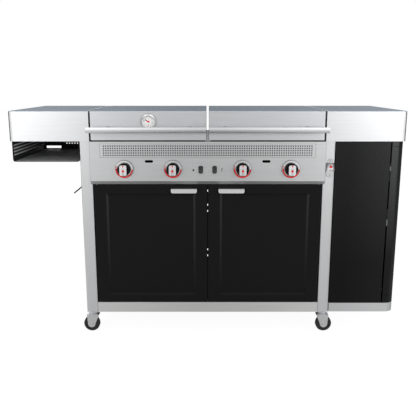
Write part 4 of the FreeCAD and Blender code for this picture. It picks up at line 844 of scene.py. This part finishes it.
# %% [markdown]
# A screw head or a burner port is a flat cone, a little narrower at its crown. The tree puts one on
# every point of a mesh. Its inputs are the points, the head's radius and height, and a turn, so that
# the same tree serves a panel's back, its front and a burner's top.

# %% Build the tree for heads and ports
HEAD_SIDES = 12
CROWN_SHARE = 0.7
HEAD_INPUTS = [("Points", "Geometry"), ("Radius", "Float"), ("Height", "Float"),
               ("Turn", "Vector"), ("Finish", "Material")]
heads, heads_in, heads_out, head_keys = new_tree("heads on points", HEAD_INPUTS)
head = heads.nodes.new("GeometryNodeMeshCone")
head.inputs["Vertices"].default_value = HEAD_SIDES
crown = maths(heads, "Math", "MULTIPLY")
crown.inputs[1].default_value = CROWN_SHARE
head_turn = heads.nodes.new("FunctionNodeEulerToRotation")
on_points = heads.nodes.new("GeometryNodeInstanceOnPoints")
wire(heads, heads_in, "Radius", head, "Radius Bottom")
wire(heads, heads_in, "Radius", crown, 0)
wire(heads, crown, 0, head, "Radius Top")
wire(heads, heads_in, "Height", head, "Depth")
wire(heads, heads_in, "Turn", head_turn, "Euler")
wire(heads, heads_in, "Points", on_points, "Points")
wire(heads, head, "Mesh", on_points, "Instance")
wire(heads, head_turn, "Rotation", on_points, "Rotation")
print(heads.name, "- nodes:", close_tree(heads, heads_in, heads_out, on_points))

# %% [markdown]
# The ticks of the dial are bars on an arc. Each bar is turned so that it points away from the middle,
# and the whole ring is then tipped upright and carried to its place. The count, the sweep and the
# size of a bar are inputs, so another dial needs no other tree.

# %% Build the tree for dial ticks
TICK_INPUTS = [("Count", "Int"), ("Radius", "Float"), ("Bar", "Vector"), ("Start", "Float"),
               ("Sweep", "Float"), ("Place", "Vector"), ("Finish", "Material")]
ticks, ticks_in, ticks_out, tick_keys = new_tree("ticks on an arc", TICK_INPUTS)
arc_line = ticks.nodes.new("GeometryNodeCurveArc")
arc_points = ticks.nodes.new("GeometryNodeCurveToMesh")
tick = ticks.nodes.new("GeometryNodeMeshCube")
where = ticks.nodes.new("GeometryNodeInputPosition")
outward = ticks.nodes.new("FunctionNodeAlignRotationToVector")
outward.axis = "X"
around = ticks.nodes.new("GeometryNodeInstanceOnPoints")
upright = ticks.nodes.new("GeometryNodeTransform")
upright.inputs["Rotation"].default_value = (math.radians(90), 0, 0)
wire(ticks, ticks_in, "Count", arc_line, "Resolution")
wire(ticks, ticks_in, "Radius", arc_line, "Radius")
wire(ticks, ticks_in, "Start", arc_line, "Start Angle")
wire(ticks, ticks_in, "Sweep", arc_line, "Sweep Angle")
wire(ticks, arc_line, "Curve", arc_points, "Curve")
wire(ticks, ticks_in, "Bar", tick, "Size")
wire(ticks, where, "Position", outward, "Vector")
wire(ticks, arc_points, "Mesh", around, "Points")
wire(ticks, tick, "Mesh", around, "Instance")
wire(ticks, outward, "Rotation", around, "Rotation")
wire(ticks, around, "Instances", upright, "Geometry")
wire(ticks, ticks_in, "Place", upright, "Translation")
print(ticks.name, "- nodes:", close_tree(ticks, ticks_in, ticks_out, upright))

# %% [markdown]
# The rear panels are screwed to the frame along their upright edges, about a hand's width apart. The
# tree runs as a modifier on a mesh that holds only the screws' places. The result replaces that mesh,
# and the modifier goes, because other programs can't run it.

# %% Grow the rear screws
TO_FRONT = (math.radians(90), 0, 0)
TO_BACK = (math.radians(-90), 0, 0)
SCREW_INSET, SCREW_PITCH = 9 * MM, 110 * MM


def grow(name, tree, keys, points, values, body):
    """Runs a tree on points, keeps the result as a plain mesh and hands it to a body."""
    mesh = bpy.data.meshes.new(name)
    mesh.from_pydata(points, [], [])
    seed = put(name, mesh)
    rows = seed.modifiers.new("rows", "NODES")
    rows.node_group = tree
    for label, value in values.items():
        rows[keys[label]] = value
    plain = bpy.data.meshes.new_from_object(seed.evaluated_get(bpy.context.evaluated_depsgraph_get()))
    seed.modifiers.clear()
    seed.data = plain
    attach(seed, body)
    print(name, "faces:", len(plain.polygons))


def steps(low, high, pitch):
    """Even places between two ends, about one pitch apart."""
    count = max(1, round((high - low) / pitch))
    return [low + (high - low) * i / count for i in range(count + 1)]


screw_points = []
for name in ("back_panel", "cabinet_back_panel"):
    low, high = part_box(name)
    rises = steps(low.z + SCREW_INSET, high.z - SCREW_INSET, SCREW_PITCH)
    screw_points += [(x, high.y, z) for x in (low.x + SCREW_INSET, high.x - SCREW_INSET) for z in rises]
grow("rear_screws", heads, head_keys, screw_points,
     {"Radius": 3.5 * MM, "Height": 1.6 * MM, "Turn": TO_BACK, "Finish": screw_steel}, "cart")

# %% [markdown]
# The opener hangs on two screws, and a round red button sits on its hood. The hood slopes, so the depth
# of the button isn't known from a box. A ray from the front finds the hood's skin at the button's place.

# %% Grow the opener's screws and button
PLATE_T = 2.5 * MM
BUTTON_Z = foot_z + 30 * MM
plate_y = opener_high.y - PLATE_T
opener_points = [(opener_x, plate_y, opener_high.z - 7 * MM), (opener_x, plate_y, opener_low.z + 9 * MM)]
grow("opener_screws", heads, head_keys, opener_points,
     {"Radius": 3.6 * MM, "Height": 1.4 * MM, "Turn": TO_FRONT, "Finish": screw_steel}, "cart")
_, skin, _, _ = nodes["bottle_opener"].ray_cast((opener_x, FASCIA_Y - 1, BUTTON_Z), (0, 1, 0))
grow("opener_button", heads, head_keys, [(opener_x, skin.y + 0.8 * MM, BUTTON_Z)],
     {"Radius": 6.4 * MM, "Height": 1.6 * MM, "Turn": TO_FRONT, "Finish": signal_red}, "cart")

# %% [markdown]
# Gas leaves a burner tube through two rows of small ports along its upper flanks. Holes would cost many
# faces; flat dark discs show the same rows when a lid is open. Each burner lies behind its knob, so the
# knobs give the rows their places.

# %% Grow the burner ports
PORT_PITCH = 14 * MM
PORT_OUT, PORT_UP = 0.6, 0.8
burner_low, burner_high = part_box("burners")
BURNER_R = (burner_high.z - burner_low.z) / 2
port_ys = steps(burner_low.y + 0.1, burner_high.y - 0.04, PORT_PITCH)
port_points = []
for name in knobs:
    x, z = front_centre(name)
    for side in SIDES:
        row_x, row_z = x + side * PORT_OUT * BURNER_R, z + PORT_UP * BURNER_R
        port_points += [(row_x, y, row_z) for y in port_ys]
grow("burner_ports", heads, head_keys, port_points,
     {"Radius": 1.6 * MM, "Height": 0.4 * MM, "Turn": (0, 0, 0), "Finish": shadow_black}, "cart")

# %% [markdown]
# The dial has ten ticks on three quarters of a circle, open at the bottom. The second tree needs no
# points, because it makes its own arc, so its seed is an empty mesh.

# %% Grow the dial ticks
TICK_COUNT = 10
TICK_R = 19 * MM
TICK_BAR = (3 * MM, 0.5 * MM, WAFER)
grow("dial_ticks", ticks, tick_keys, [],
     {"Count": TICK_COUNT, "Radius": TICK_R, "Bar": TICK_BAR, "Start": math.radians(-45),
      "Sweep": math.radians(270), "Place": (dial_x, CARD_Y - WAFER / 2, dial_z), "Finish": tick_grey},
     "left_lid")

# %% [markdown]
# ## A studio for shiny sheet
# Shiny sheet shows the room it stands in. Walls and screens could be modelled, but levels on a ramp are
# easier to set. This room is like a photo studio: duller straight ahead, bright to both sides where two
# large screens stand, and dark far out. The level follows the sideways part of a direction, so one
# small group of nodes can serve the walls and the floor alike.

# %% Set the levels of the studio
SCREENS = [(0.0, 0.42), (0.1, 0.58), (0.2, 0.82), (0.3, 1.0),
           (0.45, 0.95), (0.62, 0.55), (0.8, 0.28), (1.0, 0.2)]


def studio(tree, direction, socket, reach, reach_socket, limits, levels):
    """Emission whose tone follows a direction and whose strength follows a second value."""
    parts = tree.nodes.new("ShaderNodeSeparateXYZ")
    aside = maths(tree, "Math", "ABSOLUTE")
    tones = tree.nodes.new("ShaderNodeValToRGB")
    while len(tones.color_ramp.elements) < len(SCREENS):
        tones.color_ramp.elements.new(0.5)
    for stop, (place, level) in zip(tones.color_ramp.elements, SCREENS):
        stop.position = place
        stop.color = (level, level, level, 1)
    strength = tree.nodes.new("ShaderNodeMapRange")
    set_range(strength, limits + levels)
    glow = tree.nodes.new("ShaderNodeEmission")
    wire(tree, direction, socket, parts, "Vector")
    wire(tree, parts, "X", aside, 0)
    wire(tree, aside, 0, tones, "Fac")
    wire(tree, reach, reach_socket, strength, "Value")
    wire(tree, tones, "Color", glow, "Color")
    wire(tree, strength, "Result", glow, "Strength")
    return glow


print("levels from", SCREENS[0][1], "to", max(level for _, level in SCREENS))

# %% [markdown]
# What the eye sees and what a shiny sheet sees aren't the same in this room. The Light Path node tells
# which kind of ray is asking. One helper adds such answers up, and one mixes two shaders by the sum.


# %% Tell rays apart
def add_up(tree, parts):
    """Sum of outputs, each multiplied by a share."""
    total = None
    for source, socket, share in parts:
        step = maths(tree, "Math", "MULTIPLY_ADD")
        wire(tree, source, socket, step, 0)
        step.inputs[1].default_value = share
        step.inputs[2].default_value = 0.0
        if total:
            wire(tree, total, 0, step, 2)
        total = step
    return total


def either(tree, fac, socket, first, second):
    """Mix of two shaders."""
    mix = tree.nodes.new("ShaderNodeMixShader")
    wire(tree, fac, socket, mix, "Fac")
    wire(tree, first, 0, mix, 1)
    wire(tree, second, 0, mix, 2)
    return mix


print("kinds of rays told apart: camera, glossy, transmission")

# %% [markdown]
# ## Floor
# The picture has a white ground. The floor is a pale card that catches a soft shadow. To the eye it
# also glows a little, so that it fades into the white behind it. In shiny sheet it shows the levels of
# the studio, duller near the cart, which makes the legs and the rail darken towards the ground. The
# levels fan out from a point behind the cart, so they run on evenly from one sheet to the next.

# %% Lay the floor
GROUND = 40.0
FAN_BACK = 2.3
EYE_GLOW = 1.1
EYE_SHARE = 0.86
NEAR_TO_FAR = (0.4, 6.0)
FLOOR_LEVELS = (0.76, 1.02)
bpy.ops.mesh.primitive_plane_add(size=GROUND, location=(0, 0, FLOOR_Z))
floor = bpy.context.object
floor.name = "floor"
card, card_tree, card_shader = finish("floor card")
card_noise = object_noise(card_tree, (2, 2, 2))
tint(card_tree, card_noise, card_shader, (0.9, 0.9, 0.9), (0.93, 0.93, 0.93))
card_shader.inputs["Roughness"].default_value = 0.9
card_shader.inputs["Specular IOR Level"].default_value = 0.0
rays = card_tree.nodes.new("ShaderNodeLightPath")
to_eye = card_tree.nodes.new("ShaderNodeEmission")
to_eye.inputs["Strength"].default_value = EYE_GLOW
ground = card_tree.nodes.new("ShaderNodeTexCoord")
fan = card_tree.nodes.new("ShaderNodeMapping")
fan.inputs["Location"].default_value = (0, -FAN_BACK, 0)
heading = maths(card_tree, "VectorMath", "NORMALIZE")
away = maths(card_tree, "VectorMath", "LENGTH")
wire(card_tree, ground, "Object", fan, "Vector")
wire(card_tree, fan, "Vector", heading, 0)
wire(card_tree, ground, "Object", away, 0)
in_sheet = studio(card_tree, heading, "Vector", away, "Value", NEAR_TO_FAR, FLOOR_LEVELS)
eye_share = add_up(card_tree, [(rays, "Is Camera Ray", EYE_SHARE)])
seen_card = either(card_tree, eye_share, 0, card_shader, to_eye)
whole_card = either(card_tree, rays, "Is Glossy Ray", seen_card, in_sheet)
wire(card_tree, whole_card, 0, card_tree.nodes["Material Output"], "Surface")
floor.data.materials.append(card)
print("floor:", GROUND, "m square")

# %% [markdown]
# ## Light
# The room is white to the eye and gives a soft light all round. A picture of a studio could light it,
# but three backgrounds are enough: white for the eye and for glass, the studio's levels for shiny
# sheet, brighter overhead, and a plain soft light for everything else.

# %% Light the room
AMBIENT = 0.62
LOW_TO_HIGH = (0.15, 0.7)
WALL_LEVELS = (1.05, 1.7)
world = bpy.data.worlds.new("studio")
bpy.context.scene.world = world
world.use_nodes = True
sky = world.node_tree
sky.nodes.clear()
paths = sky.nodes.new("ShaderNodeLightPath")
gaze = sky.nodes.new("ShaderNodeTexCoord")
height = sky.nodes.new("ShaderNodeSeparateXYZ")
wire(sky, gaze, "Generated", height, "Vector")
walls = studio(sky, gaze, "Generated", height, "Z", LOW_TO_HIGH, WALL_LEVELS)
soft = sky.nodes.new("ShaderNodeBackground")
soft.inputs["Strength"].default_value = AMBIENT
white = sky.nodes.new("ShaderNodeBackground")
for backdrop in (soft, white):
    backdrop.inputs["Color"].default_value = (1, 1, 1, 1)
unlit = either(sky, paths, "Is Glossy Ray", soft, walls)
seen = add_up(sky, [(paths, "Is Camera Ray", 1.0), (paths, "Is Transmission Ray", 1.0)])
room = either(sky, seen, 0, unlit, white)
out = sky.nodes.new("ShaderNodeOutputWorld")
wire(sky, room, 0, out, "Surface")
print("ambient level:", AMBIENT)

# %% [markdown]
# Two soft lamps stand left and right of the camera, at the height of the screens. A sun would throw hard
# shadows; a square lamp of more than a metre keeps them soft. The right one is a little stronger.

# %% Set the lamps
LAMP_SIZE = 1.5
LAMP_AIM = Vector((0, 0, 0.7))
for label, side, watts in (("left screen", -1, 24), ("right screen", 1, 27)):
    place = Vector((side * 2.3, -3.1, 1.3))
    light = bpy.data.lights.new(label, "AREA")
    light.size = LAMP_SIZE
    light.energy = watts
    holder = put(label, light)
    holder.location = place
    holder.rotation_euler = (LAMP_AIM - place).to_track_quat("-Z", "Y").to_euler()
print("lamps:", len(bpy.data.lights))

# %% [markdown]
# ## Camera
# The camera stands straight in front, a little above the worktop, and looks down. It could be placed
# by eye, but then lines would run together at the wrong rate. Its distance and lens were worked out
# from the way the front of the cart grows smaller towards the floor.

# %% Place the camera
SENSOR_W = 36.0
VIEW_LENS = 49.67
VIEW_SHIFT = 0.0008
VIEW_DISTANCE = 2.476
VIEW_HEIGHT = 0.115
VIEW_PITCH = math.radians(12.257)
camera_data = bpy.data.cameras.new("portrait")
camera_data.sensor_width = SENSOR_W
camera_data.lens = VIEW_LENS
camera_data.shift_x = VIEW_SHIFT
camera = put("portrait", camera_data)
camera.location = (0, FASCIA_Y - VIEW_DISTANCE, TOP_Z + VIEW_HEIGHT)
camera.rotation_euler = (math.radians(90) - VIEW_PITCH, 0, 0)
bpy.context.scene.camera = camera
bpy.context.scene.view_settings.view_transform = "Standard"
print("camera at", tuple(round(v, 3) for v in camera.location))
